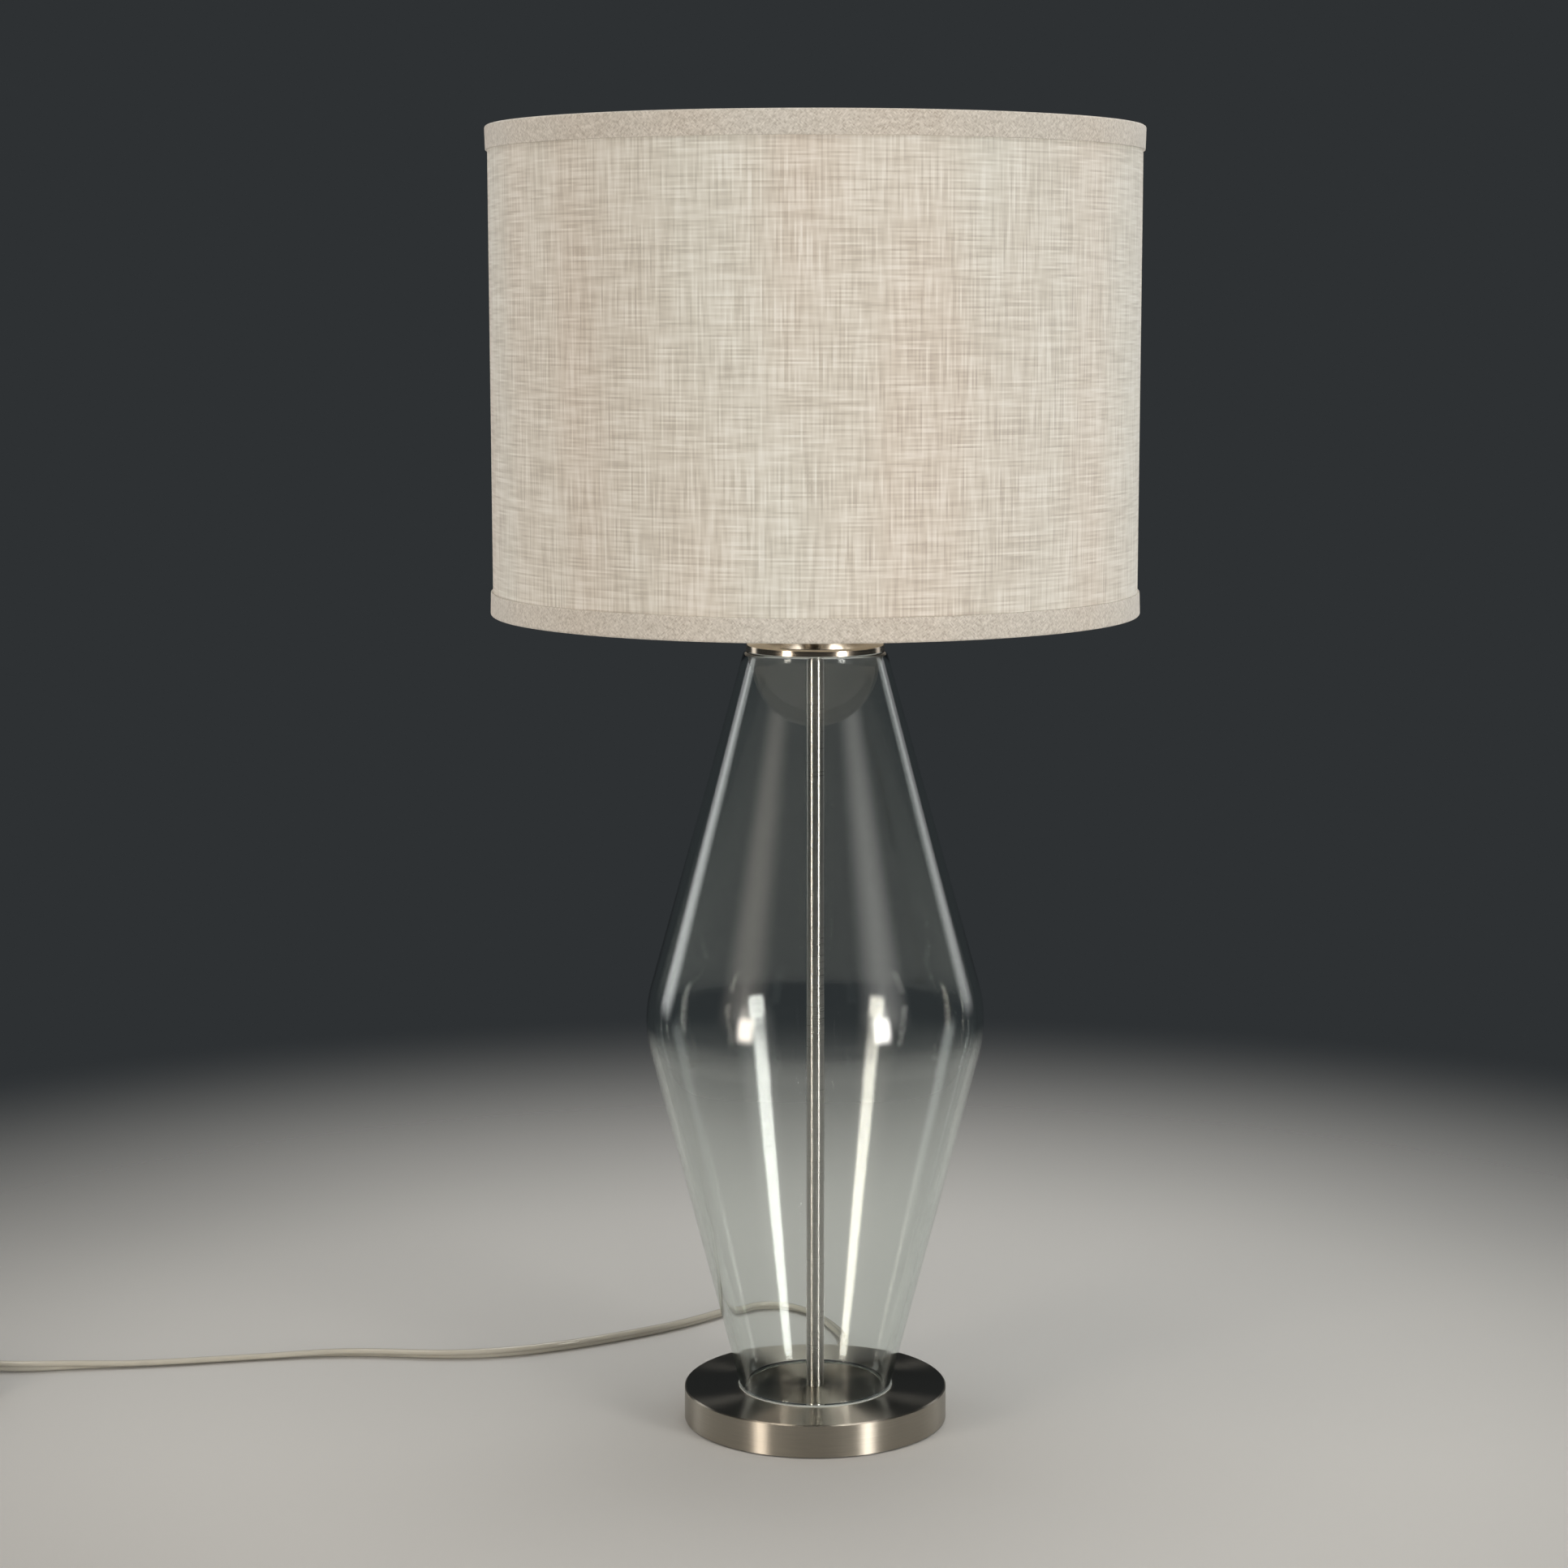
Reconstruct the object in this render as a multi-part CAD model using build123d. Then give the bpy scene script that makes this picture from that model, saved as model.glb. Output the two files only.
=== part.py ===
from build123d import *
import math
import os

# Table lamp with a clear double-cone glass body on a weighted metal disc, under a linen
# drum shade. Millimetres, +Z up. The origin is the middle of the foot, on the table, the
# front of the lamp looks along -Y, and the cord leaves at the back.

# ---- base ----------------------------------------------------------------------------
BASE_RADIUS = 74.25
BASE_TOP = 19.2
COVER_WALL = 1.5
COVER_GAP = 0.8            # the cover's hem stands this far above the table
COVER_BEVEL = 0.7
PAD_THICKNESS = 1.6
PAD_RADIUS = 72.3
WEIGHT_RADIUS = 72.4
WEIGHT_BOTTOM = 1.8
RECESS_RADIUS = 16.0       # room for the nut under the weight
RECESS_CEILING = 14.2
CHANNEL_WIDTH = 11.4       # the cord's way from the middle to the back
CHANNEL_TOP = 13.2

# ---- centre tube, nut and washers ----------------------------------------------------
TUBE_RADIUS = 5.0          # M10 x 1 lamp tube
TUBE_BORE = 4.0
TUBE_BOTTOM = 9.6
TUBE_TOP = 462.0
FIT = 0.05                 # radial clearance of a bore on the tube
NUT_FLATS = 14.0
NUT_HEIGHT = 2.6
WASHER_RADIUS = 12.0
WASHER_THICKNESS = 1.0
LOCK_WASHER_RADIUS = 8.6
LOCK_WASHER_TEETH = 12

# ---- glass body ----------------------------------------------------------------------
GASKET = 0.6
GLASS_WALL = 4.0
GLASS_FOOT_Z = BASE_TOP + GASKET
GLASS_TOP_Z = 437.6
GLASS_WAIST_Z = 231.6
GLASS_WAIST_RADIUS = 97.15  # where the two cones would meet in a sharp edge
GLASS_WAIST_ROUND = 73.0
GLASS_NECK_ROUND = 2.2
GLASS_EDGE_ROUND = 1.0
LOWER_SLOPE = math.tan(math.radians(14.39))
UPPER_SLOPE = math.tan(math.radians(15.61))

# ---- cap on the glass ----------------------------------------------------------------
CAP_RADIUS = 38.3
CAP_RIM_Z = GLASS_TOP_Z + GASKET
CAP_SIDE = 3.6
CAP_DOME = 8.0
CAP_WALL = 1.0
CAP_FLAT_RADIUS = 11.0
CAP_CROWN = 1.9            # how far the dome's arc stands off its chord
CAP_EDGE_ROUND = 1.6
CAP_SEAT_RADIUS = 31.0     # the turned-in edge reaches in to here, over the glass
CAP_TOP_Z = CAP_RIM_Z + CAP_SIDE + CAP_DOME

# ---- harp ----------------------------------------------------------------------------
SADDLE_THICKNESS = 1.8
SADDLE_HALF_SPAN = 30.1
SADDLE_WIDTH = 14.0
EAR_SHOULDER = 8.6         # above the saddle's base
EAR_TONGUE = 17.6
EAR_TONGUE_WIDTH = 4.8
HARP_WIRE = 2.2
HARP_HALF_WIDTH = 57.0
HARP_HEIGHT = 242.0        # a nine and a half inch harp
SLEEVE_OUTER = 4.0
SLEEVE_INNER = 2.9
SLEEVE_LENGTH = 13.0
STUD_RADIUS = 3.15         # 1/4-27 thread
SEAT_RADIUS = 7.0
RING_NUT_RADIUS = 9.0
RING_NUT_HEIGHT = 3.4

# ---- lampholder ----------------------------------------------------------------------
HOLDER_Z = CAP_TOP_Z + SADDLE_THICKNESS + RING_NUT_HEIGHT + 0.2
HOLDER_CAP_RADIUS = 16.9
HOLDER_CAP_HEIGHT = 18.0
HOLDER_SHELL_RADIUS = 16.2
HOLDER_SHELL_BOTTOM = HOLDER_Z + 12.2
HOLDER_SHELL_TOP = HOLDER_Z + 57.0
SHEET = 0.6
KEY_Z = HOLDER_Z + 25.0    # height of the switch's turning key
KEY_STEM_RADIUS = 2.0
KEY_KNOB_RADIUS = 6.5
KEY_KNOB_LENGTH = 11.0
KEY_KNOB_REAR = -19.4      # the knob's back face, in Y
KEY_STEM_FRONT = -27.0
KEY_STEM_REAR = 2.0
KEY_RIBS = 16
KEY_RIB_GROOVE = 0.6
SWITCH_RADIUS = 12.2

# ---- bulb ----------------------------------------------------------------------------
BULB_TIP_Z = HOLDER_Z + 35.4
BULB_LENGTH = 106.0
BULB_RADIUS = 30.0
BULB_SKIN = 0.9
BULB_SHOULDER = math.radians(-24)  # below this the globe runs into its neck
THREAD_RADIUS = 13.0       # E26 crests
THREAD_DEPTH = 0.9
THREAD_PITCH = 3.63
THREADS = 5
THREAD_START = 5.0         # above the bulb's tip
THREAD_CLEARANCE = 0.35

# ---- shade ---------------------------------------------------------------------------
SHADE_BOTTOM = 459.1
SHADE_TOP = 721.3
LINEN_RADIUS = 176.5
LINEN_THICKNESS = 0.5
LINER_THICKNESS = 0.5
TRIM_RADIUS = 178.0
TRIM_FOLD = 1.4            # thickness of the folded tape
TRIM_HEIGHT = 12.8
TRIM_INSIDE = 7.5
RING_WIRE = 1.7
RING_RADIUS = 173.6
ARM_WIRE = 1.6
ARM_ANGLES = (90, 210, 330)
HUB_RADIUS = 12.5
HUB_THICKNESS = 1.4
HUB_BORE = 3.6

# ---- finial --------------------------------------------------------------------------
FINIAL_BASE_RADIUS = 7.2
FINIAL_BALL_RADIUS = 8.2
FINIAL_NECK_RADIUS = 5.4
FINIAL_WAIST_RADIUS = 4.6
FINIAL_HEIGHT = 22.6

# ---- cord, plug and bushing ----------------------------------------------------------
CORD_WIDTH = 7.0           # flat twin cord, over both conductors
CORD_THICKNESS = 3.6
CORD_RADIUS = CORD_WIDTH / 2
EXIT_TURN = 10.0           # the exit stands this far round from the back, towards +X
EXIT_Z = 7.2
BUSHING_INNER = 64.0       # distances from the lamp's axis
BUSHING_FLANGE = 74.6
BUSHING_TIP = 95.0
FIRST_RUN = 18.0           # the cord leaves the bushing straight for this far
BEND_RADIUS = 5.4          # the cord's turn up into the tube
COIL_CENTRE_X = -527.0
COIL_INNER_ARC = 33.0
COIL_CLIMB_ARC = 30.5
COIL_STEP = 4.5            # each half turn is this much wider than the last
COIL_LAYER = 7.6
LOWER_HALF_TURNS = 4
UPPER_HALF_TURNS = 3
TIE_THICKNESS = 0.8
TIE_WIDTH = 4.0
TIE_CORNER = 3.0
PLUG_WIDTH = 21.0
PLUG_HEIGHT = 12.0
PLUG_LENGTH = 28.0
PLUG_NECK = 4.6            # half width at the cord
PLUG_THROAT = (5.2, -6.0)  # where the body starts to widen, and where it is full width
PLUG_SHOULDER = -13.0
PLUG_GRIPS = 4
PLUG_GRIP_PITCH = 2.8
BLADE_LENGTH = 16.5
BLADE_THICKNESS = 1.5
BLADE_SPACING = 12.7
BLADE_HEIGHTS = (6.35, 7.9)
BLADE_ROOT = 8.0           # how far each blade reaches into the plug

# The cord's way over the table, from its first run to the coil, as (x, y, z).
CORD_ROUTE = [
    (21.2, 131.0, 5.2), (17.2, 151.5, 3.5), (8.0, 172.5, 3.5),
    (-5.0, 193.5, 3.5), (-25.5, 204.0, 3.5), (-47.0, 199.0, 3.5), (-62.0, 182.0, 3.5),
    (-83.0, 161.0, 3.5), (-113.0, 140.0, 3.5), (-147.0, 120.0, 3.5), (-182.0, 105.5, 3.5),
    (-219.0, 100.5, 3.5), (-256.0, 105.5, 3.5), (-297.0, 106.5, 3.5), (-343.0, 98.0, 3.5),
    (-389.0, 88.0, 3.5), (-431.0, 83.0, 3.5), (-470.0, 76.0, 3.5), (-497.0, 77.5, 4.5),
    (-520.0, 77.5, 4.5),
]
# From the coil's last turn down to the plug, counted from that turn's end.
TAIL_ROUTE = [
    (0.0, 0.0, 0.0), (0.0, -15.0, 0.0), (1.5, -33.0, -3.0), (0.5, -53.0, -6.1), (0.5, -69.0, -6.1),
]


# ---- helpers -------------------------------------------------------------------------
def disc(radius, low, high):
    """A round solid about Z, from one height to another."""
    return Pos(0, 0, low) * Cylinder(radius, high - low, align=(Align.CENTER, Align.CENTER, Align.MIN))


def ring(outer, inner, low, high):
    """A disc with a round hole."""
    return disc(outer, low, high) - disc(inner, low - 1, high + 1)


def turned(face):
    """A face drawn as (radius, height), turned once about Z."""
    return revolve(Plane.XZ * face, Axis.Z, 360)


def polygon(*points):
    """A closed face through the points."""
    return make_face(Polyline(*points, close=True))


def nearest(face, x, y):
    """The corner of a face that lies nearest to a point."""
    return min(face.vertices(), key=lambda v: math.hypot(v.X - x, v.Y - y))


def rounded(face, corners):
    """The face with a fillet at each (x, y, radius)."""
    for x, y, radius in corners:
        face = fillet(nearest(face, x, y), radius)
    return face


def at_exit(solid):
    """Turns what is drawn along +X to the direction in which the cord leaves."""
    return Rot(0, 0, 90 - EXIT_TURN) * solid


def along_y(radius, near, far, height):
    """A round bar along Y at a height, between two Y values."""
    bar = Cylinder(radius, far - near, align=(Align.CENTER, Align.CENTER, Align.MIN))
    return Pos(0, near, height) * Rot(-90, 0, 0) * bar


def wire(points, radii, radius):
    """A round wire through the points, with a bend of its own radius at each corner."""
    path = FilletPolyline(*points, radius=radii)
    return sweep(Plane(origin=path @ 0, z_dir=path % 0) * Circle(radius), path=path)


def bend_radii(points):
    """The largest bend that each corner's two runs allow: 0.45 of the shorter run."""
    radii = []
    for before, corner, after in zip(points, points[1:], points[2:]):
        arriving = Vector(*corner) - Vector(*before)
        leaving = Vector(*after) - Vector(*corner)
        half_turn = math.radians(arriving.get_angle(leaving) / 2)
        radii.append(0.45 * min(arriving.length, leaving.length) / math.tan(half_turn))
    return radii


def round_cord(name, path):
    """A round cord along a path, and its volume compared with section times length."""
    solid = sweep(Plane(origin=path @ 0, z_dir=path % 0) * Circle(CORD_RADIUS), path=path)
    expected = math.pi * CORD_RADIUS ** 2 * path.length
    print(name, "length", round(path.length, 1), "volume ratio", round(solid.volume / expected, 4))
    return solid


def cord_along(name, points):
    """A round cord along a route of straight runs and the arcs that join them."""
    radii = bend_radii(points)
    print(name, "bend radii", [round(r) for r in radii])
    return round_cord(name, FilletPolyline(*points, radius=radii))


def flat_section(width, thickness):
    """The flat cord's cross-section: straight sides and round edges."""
    return SlotOverall(width, thickness)


# ---- base ----------------------------------------------------------------------------
def base_pad():
    return disc(PAD_RADIUS, 0, PAD_THICKNESS)


def base_cover():
    """A deep-drawn steel cover, brushed, with a bevelled top edge."""
    cover = disc(BASE_RADIUS, COVER_GAP, BASE_TOP)
    cover = chamfer(cover.edges().group_by(Axis.Z)[-1], COVER_BEVEL)
    cover -= disc(BASE_RADIUS - COVER_WALL, COVER_GAP - 1, BASE_TOP - COVER_WALL)
    cover -= disc(TUBE_RADIUS + FIT, 0, BASE_TOP + 1)
    return cover - bushing_hole(5.4)


def bushing_hole(radius):
    """The hole through the cover's back for the cord bushing."""
    bar = Cylinder(radius, 30, align=(Align.CENTER, Align.CENTER, Align.MIN))
    return at_exit(Pos(60, 0, EXIT_Z) * Rot(0, 90, 0) * bar)


def base_weight():
    """Cast iron, with a recess for the nut and a channel for the cord."""
    weight = disc(WEIGHT_RADIUS, WEIGHT_BOTTOM, BASE_TOP - COVER_WALL - 0.2)
    weight -= disc(RECESS_RADIUS, 0, RECESS_CEILING)
    weight -= disc(TUBE_RADIUS + FIT, 0, BASE_TOP)
    channel = Box(80, CHANNEL_WIDTH, CHANNEL_TOP, align=(Align.MIN, Align.CENTER, Align.MIN))
    return weight - at_exit(channel)


def base_washer():
    top = RECESS_CEILING - 0.05
    return ring(WASHER_RADIUS, TUBE_RADIUS + FIT, top - WASHER_THICKNESS, top)


def base_lock_washer():
    """An external-tooth lock washer."""
    top = RECESS_CEILING - WASHER_THICKNESS - 0.1
    washer = ring(LOCK_WASHER_RADIUS, TUBE_RADIUS + FIT, top - SHEET, top)
    for tooth in range(LOCK_WASHER_TEETH):
        gap = Pos(LOCK_WASHER_RADIUS, 0, top) * Box(2.4, 1.6, 4 * SHEET)
        washer -= Rot(0, 0, 360 * tooth / LOCK_WASHER_TEETH) * gap
    return washer


def hex_nut(low, height, flats):
    """A hexagon nut on the tube, with its corners taken off at both faces."""
    nut = Pos(0, 0, low) * extrude(RegularPolygon(flats / 2, 6, major_radius=False), height)
    crown = chamfer(disc(flats / 2 * 1.14, low, low + height).edges(), 0.7)
    return (nut & crown) - disc(TUBE_RADIUS + FIT, low - 1, low + height + 1)


def base_nut():
    top = RECESS_CEILING - WASHER_THICKNESS - SHEET - 0.15
    return hex_nut(top - NUT_HEIGHT, NUT_HEIGHT, NUT_FLATS)


def lamp_tube():
    return ring(TUBE_RADIUS, TUBE_BORE, TUBE_BOTTOM, TUBE_TOP)


# ---- glass body and its cap ----------------------------------------------------------
def glass_radius(z):
    """The outer radius of the cone that a height is on, before the waist is rounded."""
    slope = LOWER_SLOPE if z < GLASS_WAIST_Z else UPPER_SLOPE
    return GLASS_WAIST_RADIUS - slope * abs(z - GLASS_WAIST_Z)


def glass_body():
    """Two cones with a rounded waist, open at the foot and at the neck."""
    inset = GLASS_WALL / math.cos(math.atan(LOWER_SLOPE))
    foot = glass_radius(GLASS_FOOT_Z)
    neck = glass_radius(GLASS_TOP_Z)
    wall = polygon(
        (foot, GLASS_FOOT_Z), (GLASS_WAIST_RADIUS, GLASS_WAIST_Z), (neck, GLASS_TOP_Z),
        (neck - inset, GLASS_TOP_Z), (GLASS_WAIST_RADIUS - inset, GLASS_WAIST_Z),
        (foot - inset, GLASS_FOOT_Z),
    )
    return turned(rounded(wall, [
        (GLASS_WAIST_RADIUS, GLASS_WAIST_Z, GLASS_WAIST_ROUND),
        (GLASS_WAIST_RADIUS - inset, GLASS_WAIST_Z, GLASS_WAIST_ROUND - GLASS_WALL),
        (neck, GLASS_TOP_Z, GLASS_NECK_ROUND), (neck - inset, GLASS_TOP_Z, GLASS_EDGE_ROUND),
        (foot, GLASS_FOOT_Z, GLASS_EDGE_ROUND), (foot - inset, GLASS_FOOT_Z, GLASS_EDGE_ROUND),
    ]))


def glass_lower_gasket():
    foot = glass_radius(GLASS_FOOT_Z)
    return ring(foot + 0.8, foot - GLASS_WALL - 0.4, BASE_TOP, GLASS_FOOT_Z - 0.02)


def glass_upper_gasket():
    neck = glass_radius(GLASS_TOP_Z)
    return ring(neck - 2.6, neck - GLASS_WALL - 2.0, GLASS_TOP_Z + 0.02, CAP_RIM_Z)


def vase_cap():
    """A spun cap: a short upright side, a shallow dome and a flat in the middle."""
    side_z = CAP_RIM_Z + CAP_SIDE
    bore = TUBE_RADIUS + FIT
    floor = CAP_RIM_Z + CAP_WALL
    inner = CAP_RADIUS - CAP_WALL
    outline = [
        Line((CAP_RADIUS, CAP_RIM_Z), (CAP_RADIUS, side_z)),
        SagittaArc((CAP_RADIUS, side_z), (CAP_FLAT_RADIUS, CAP_TOP_Z), -CAP_CROWN),
        Polyline((CAP_FLAT_RADIUS, CAP_TOP_Z), (bore, CAP_TOP_Z), (bore, CAP_TOP_Z - CAP_WALL),
                 (CAP_FLAT_RADIUS, CAP_TOP_Z - CAP_WALL)),
        SagittaArc((CAP_FLAT_RADIUS, CAP_TOP_Z - CAP_WALL), (inner, side_z), CAP_CROWN - 0.2),
        Polyline((inner, side_z), (inner, floor), (CAP_SEAT_RADIUS, floor),
                 (CAP_SEAT_RADIUS, CAP_RIM_Z), (CAP_RADIUS, CAP_RIM_Z)),
    ]
    return turned(rounded(make_face(outline), [(CAP_RADIUS, side_z, CAP_EDGE_ROUND)]))


# ---- harp ----------------------------------------------------------------------------
def harp_saddle():
    """A strip bent up at both ends, with a narrow tongue on top of each ear."""
    base = Pos(0, 0, CAP_TOP_Z) * Box(
        2 * SADDLE_HALF_SPAN + SADDLE_THICKNESS, SADDLE_WIDTH, SADDLE_THICKNESS,
        align=(Align.CENTER, Align.CENTER, Align.MIN))
    base = fillet(base.edges().filter_by(Axis.Y).group_by(Axis.Z)[0], 1.4)
    ear = polygon(
        (-SADDLE_WIDTH / 2, 1), (SADDLE_WIDTH / 2, 1), (SADDLE_WIDTH / 2, EAR_SHOULDER - 3),
        (EAR_TONGUE_WIDTH / 2, EAR_SHOULDER), (EAR_TONGUE_WIDTH / 2, EAR_TONGUE),
        (-EAR_TONGUE_WIDTH / 2, EAR_TONGUE), (-EAR_TONGUE_WIDTH / 2, EAR_SHOULDER),
        (-SADDLE_WIDTH / 2, EAR_SHOULDER - 3))
    plate = extrude(Plane.YZ * ear, SADDLE_THICKNESS / 2, both=True)
    for side in (-1, 1):
        base += Pos(side * SADDLE_HALF_SPAN, 0, CAP_TOP_Z) * plate
    return base - disc(TUBE_RADIUS + FIT, CAP_TOP_Z - 1, CAP_TOP_Z + 5)


def harp_frame():
    """One wire loop: straight legs, a wide middle for the bulb and a flat top."""
    low = CAP_TOP_Z + EAR_TONGUE + 0.2
    top = CAP_TOP_Z + HARP_HEIGHT - HARP_WIRE
    half = [
        (SADDLE_HALF_SPAN, 0, low), (SADDLE_HALF_SPAN, 0, low + 30), (HARP_HALF_WIDTH, 0, low + 76),
        (HARP_HALF_WIDTH, 0, top - 62), (22, 0, top - 6), (9, 0, top),
    ]
    points = half + [(-x, y, z) for x, y, z in reversed(half)]
    bends = [28, 60, 45, 14, 8]
    return wire(points, bends[:4] + [bends[4]] * 2 + bends[3::-1], HARP_WIRE)


def harp_stud():
    """The seat that is pressed round the harp's top wire, with its threaded stud."""
    top = CAP_TOP_Z + HARP_HEIGHT
    seat = disc(SEAT_RADIUS, top - 2 * HARP_WIRE - 0.6, top + 1.6)
    bar = Cylinder(HARP_WIRE + 0.03, 60)
    seat -= Pos(0, 0, top - HARP_WIRE) * Rot(0, 90, 0) * bar
    return seat + disc(STUD_RADIUS, top, top + 13)


def harp_sleeve(side):
    """The sleeve that drops over a leg's joint and locks it."""
    low = CAP_TOP_Z + EAR_SHOULDER + 0.4
    sleeve = ring(SLEEVE_OUTER, SLEEVE_INNER, low, low + SLEEVE_LENGTH)
    sleeve = fillet(sleeve.edges().filter_by(GeomType.CIRCLE).sort_by(SortBy.RADIUS)[-2:], 0.5)
    return Pos(side * SADDLE_HALF_SPAN, 0, 0) * sleeve


def tube_ring_nut():
    """The round nut that clamps the saddle and the cap on the glass."""
    low = CAP_TOP_Z + SADDLE_THICKNESS + 0.05
    nut = ring(RING_NUT_RADIUS, TUBE_RADIUS + FIT, low, low + RING_NUT_HEIGHT)
    return chamfer(nut.edges().filter_by(GeomType.CIRCLE).sort_by(SortBy.RADIUS)[-2:], 0.5)


# ---- lampholder ----------------------------------------------------------------------
def holder_cap():
    """The lampholder's lower cup, which screws on the tube."""
    z = HOLDER_Z
    outer = HOLDER_CAP_RADIUS
    cup = turned(polygon(
        (TUBE_RADIUS + FIT, z), (7.2, z), (7.2, z + 4.0), (outer - 2.5, z + 8.4), (outer, z + 11.6),
        (outer, z + HOLDER_CAP_HEIGHT), (outer - SHEET, z + HOLDER_CAP_HEIGHT),
        (outer - SHEET, z + 12.0), (outer - 3.0, z + 9.1), (6.9, z + 4.8), (TUBE_RADIUS + FIT, z + 4.8)))
    return cup - along_y(1.55, 4.0, 9.4, z + 2.0)


def holder_set_screw():
    """The small screw in the cap's neck that keeps it from turning."""
    screw = along_y(1.5, 5.2, 9.4, HOLDER_Z + 2.0) + along_y(2.4, 9.4, 10.8, HOLDER_Z + 2.0)
    return screw - Pos(0, 10.8, HOLDER_Z + 2.0) * Box(6, 1.2, 0.7)


def key_window(radius):
    """The round window that the switch key's stem passes through, at the front."""
    return along_y(radius, -20, -6, KEY_Z)


def holder_shell():
    """The outer shell, with a rolled rim."""
    shell = ring(HOLDER_SHELL_RADIUS, HOLDER_SHELL_RADIUS - SHEET, HOLDER_SHELL_BOTTOM, HOLDER_SHELL_TOP)
    rim = Pos(0, 0, HOLDER_SHELL_TOP) * Torus(HOLDER_SHELL_RADIUS - SHEET / 2, 0.9)
    return shell + rim - key_window(KEY_STEM_RADIUS + 0.6)


def holder_liner():
    """The fibre sleeve that insulates the shell."""
    outer = HOLDER_SHELL_RADIUS - SHEET - 0.1
    liner = ring(outer, outer - 0.6, HOLDER_SHELL_BOTTOM + 0.2, HOLDER_SHELL_TOP - 2)
    return liner - key_window(KEY_STEM_RADIUS + 0.6)


def switch_body():
    """The moulded block that holds the switch, the contact and both terminals."""
    low = HOLDER_Z + 15.5
    top = HOLDER_Z + 32.6
    block = disc(SWITCH_RADIUS, low, top)
    for side in (-1, 1):
        block -= Pos(side * (SWITCH_RADIUS + 0.6), 0, low + 4) * Box(4.4, 8, 10)
        block -= terminal_screw(side, 0.05)
    block += disc(SWITCH_RADIUS + 1.2, top - 1.4, top)
    return block - along_y(KEY_STEM_RADIUS + FIT, -20, 4, KEY_Z)


def terminal_screw(side, gap=0.0):
    """A slotted terminal screw on one side of the switch body."""
    z = HOLDER_Z + 20.5
    shank = Cylinder(1.4 + gap, 7 + gap, align=(Align.CENTER, Align.CENTER, Align.MAX))
    head = Cylinder(2.9 + gap, 1.4, align=(Align.CENTER, Align.CENTER, Align.MIN))
    slot = Pos(0, 0, 1.4) * Box(6, 0.8, 1.0)
    screw = shank + head - slot
    return Pos(side * 11.0, 0, z) * Rot(0, side * 90, 0) * screw


def thread_profile(radius, low):
    """Points up a row of round threads, as (radius, height)."""
    points = []
    for crest in range(THREADS):
        z = low + crest * THREAD_PITCH
        points += [
            (radius - THREAD_DEPTH, z), (radius, z + 0.3 * THREAD_PITCH),
            (radius, z + 0.6 * THREAD_PITCH), (radius - THREAD_DEPTH, z + 0.9 * THREAD_PITCH),
        ]
    return points


def screw_shell():
    """The threaded metal shell that the bulb turns into."""
    low = HOLDER_Z + 32.7
    start = BULB_TIP_Z + THREAD_START
    inner = thread_profile(THREAD_RADIUS + THREAD_CLEARANCE, start)
    outer = [(r + 0.45, z) for r, z in inner]
    floor = [(outer[0][0], low), (6.2, low), (6.2, low + 0.5), (inner[0][0], low + 0.5)]
    return turned(polygon(*floor, *inner, *reversed(outer)))


def centre_contact():
    """The springy tongue under the bulb's tip."""
    low = HOLDER_Z + 32.7
    tongue = polygon(
        (-4.5, low), (-1.0, low), (3.2, low + 1.9), (3.0, low + 2.25), (-1.1, low + 0.4), (-4.5, low + 0.4))
    return extrude(Plane.XZ * tongue, 2.2, both=True)


def key_stem():
    return along_y(KEY_STEM_RADIUS, KEY_STEM_FRONT, KEY_STEM_REAR, KEY_Z)


def key_knob():
    """A ribbed knob with a blind bore for the stem."""
    front = KEY_KNOB_REAR - KEY_KNOB_LENGTH
    knob = along_y(KEY_KNOB_RADIUS, front, KEY_KNOB_REAR, KEY_Z)
    knob = fillet(knob.edges().filter_by(GeomType.CIRCLE).sort_by(Axis.Y)[0], 1.2)
    for rib in range(KEY_RIBS):
        angle = 2 * math.pi * rib / KEY_RIBS
        x, z = KEY_KNOB_RADIUS * math.cos(angle), KEY_KNOB_RADIUS * math.sin(angle)
        knob -= Pos(x, 0, z) * along_y(KEY_RIB_GROOVE, front + 1.6, KEY_KNOB_REAR + 0.4, KEY_Z)
    return knob - along_y(KEY_STEM_RADIUS + 0.02, KEY_STEM_FRONT - 0.1, KEY_KNOB_REAR + 0.4, KEY_Z)


def supply_wires():
    """The two conductors, from the end of the cord to the terminal screws."""
    wires = []
    for side in (-1, 1):
        points = [
            (side * 1.75, 0, TUBE_TOP + 0.1), (side * 1.75, 0, TUBE_TOP + 4.0),
            (side * 9.0, 0, TUBE_TOP + 5.6), (side * 12.6, 0, TUBE_TOP + 7.6),
            (side * 12.6, 0, HOLDER_Z + 17.4),
        ]
        wires.append(wire(points, [2.2, 2.2, 1.8], 0.9))
    return Compound(children=[Part() + w for w in wires])


# ---- bulb ----------------------------------------------------------------------------
def bulb_contact():
    contact = disc(4.5, BULB_TIP_Z, BULB_TIP_Z + 1.0)
    return fillet(contact.edges().group_by(Axis.Z)[0], 0.6)


def bulb_insulator():
    low = BULB_TIP_Z + 1.05
    return turned(polygon((0, low), (4.5, low), (9.0, low + 3.4), (0, low + 3.4)))


def bulb_cap():
    """The bulb's threaded cap, closed below by the insulator."""
    low = BULB_TIP_Z + 4.5
    start = BULB_TIP_Z + THREAD_START
    outer = thread_profile(THREAD_RADIUS, start)
    top = BULB_TIP_Z + 26.0
    skirt = [(THREAD_RADIUS, top - 1.4), (THREAD_RADIUS + 0.3, top), (THREAD_RADIUS - 0.3, top)]
    return turned(polygon(
        (0, low), (9.2, low), *outer, *skirt,
        (THREAD_RADIUS - THREAD_DEPTH - 0.5, top - 2.2), (THREAD_RADIUS - THREAD_DEPTH - 0.5, low + 0.6),
        (0, low + 0.6)))


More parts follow.
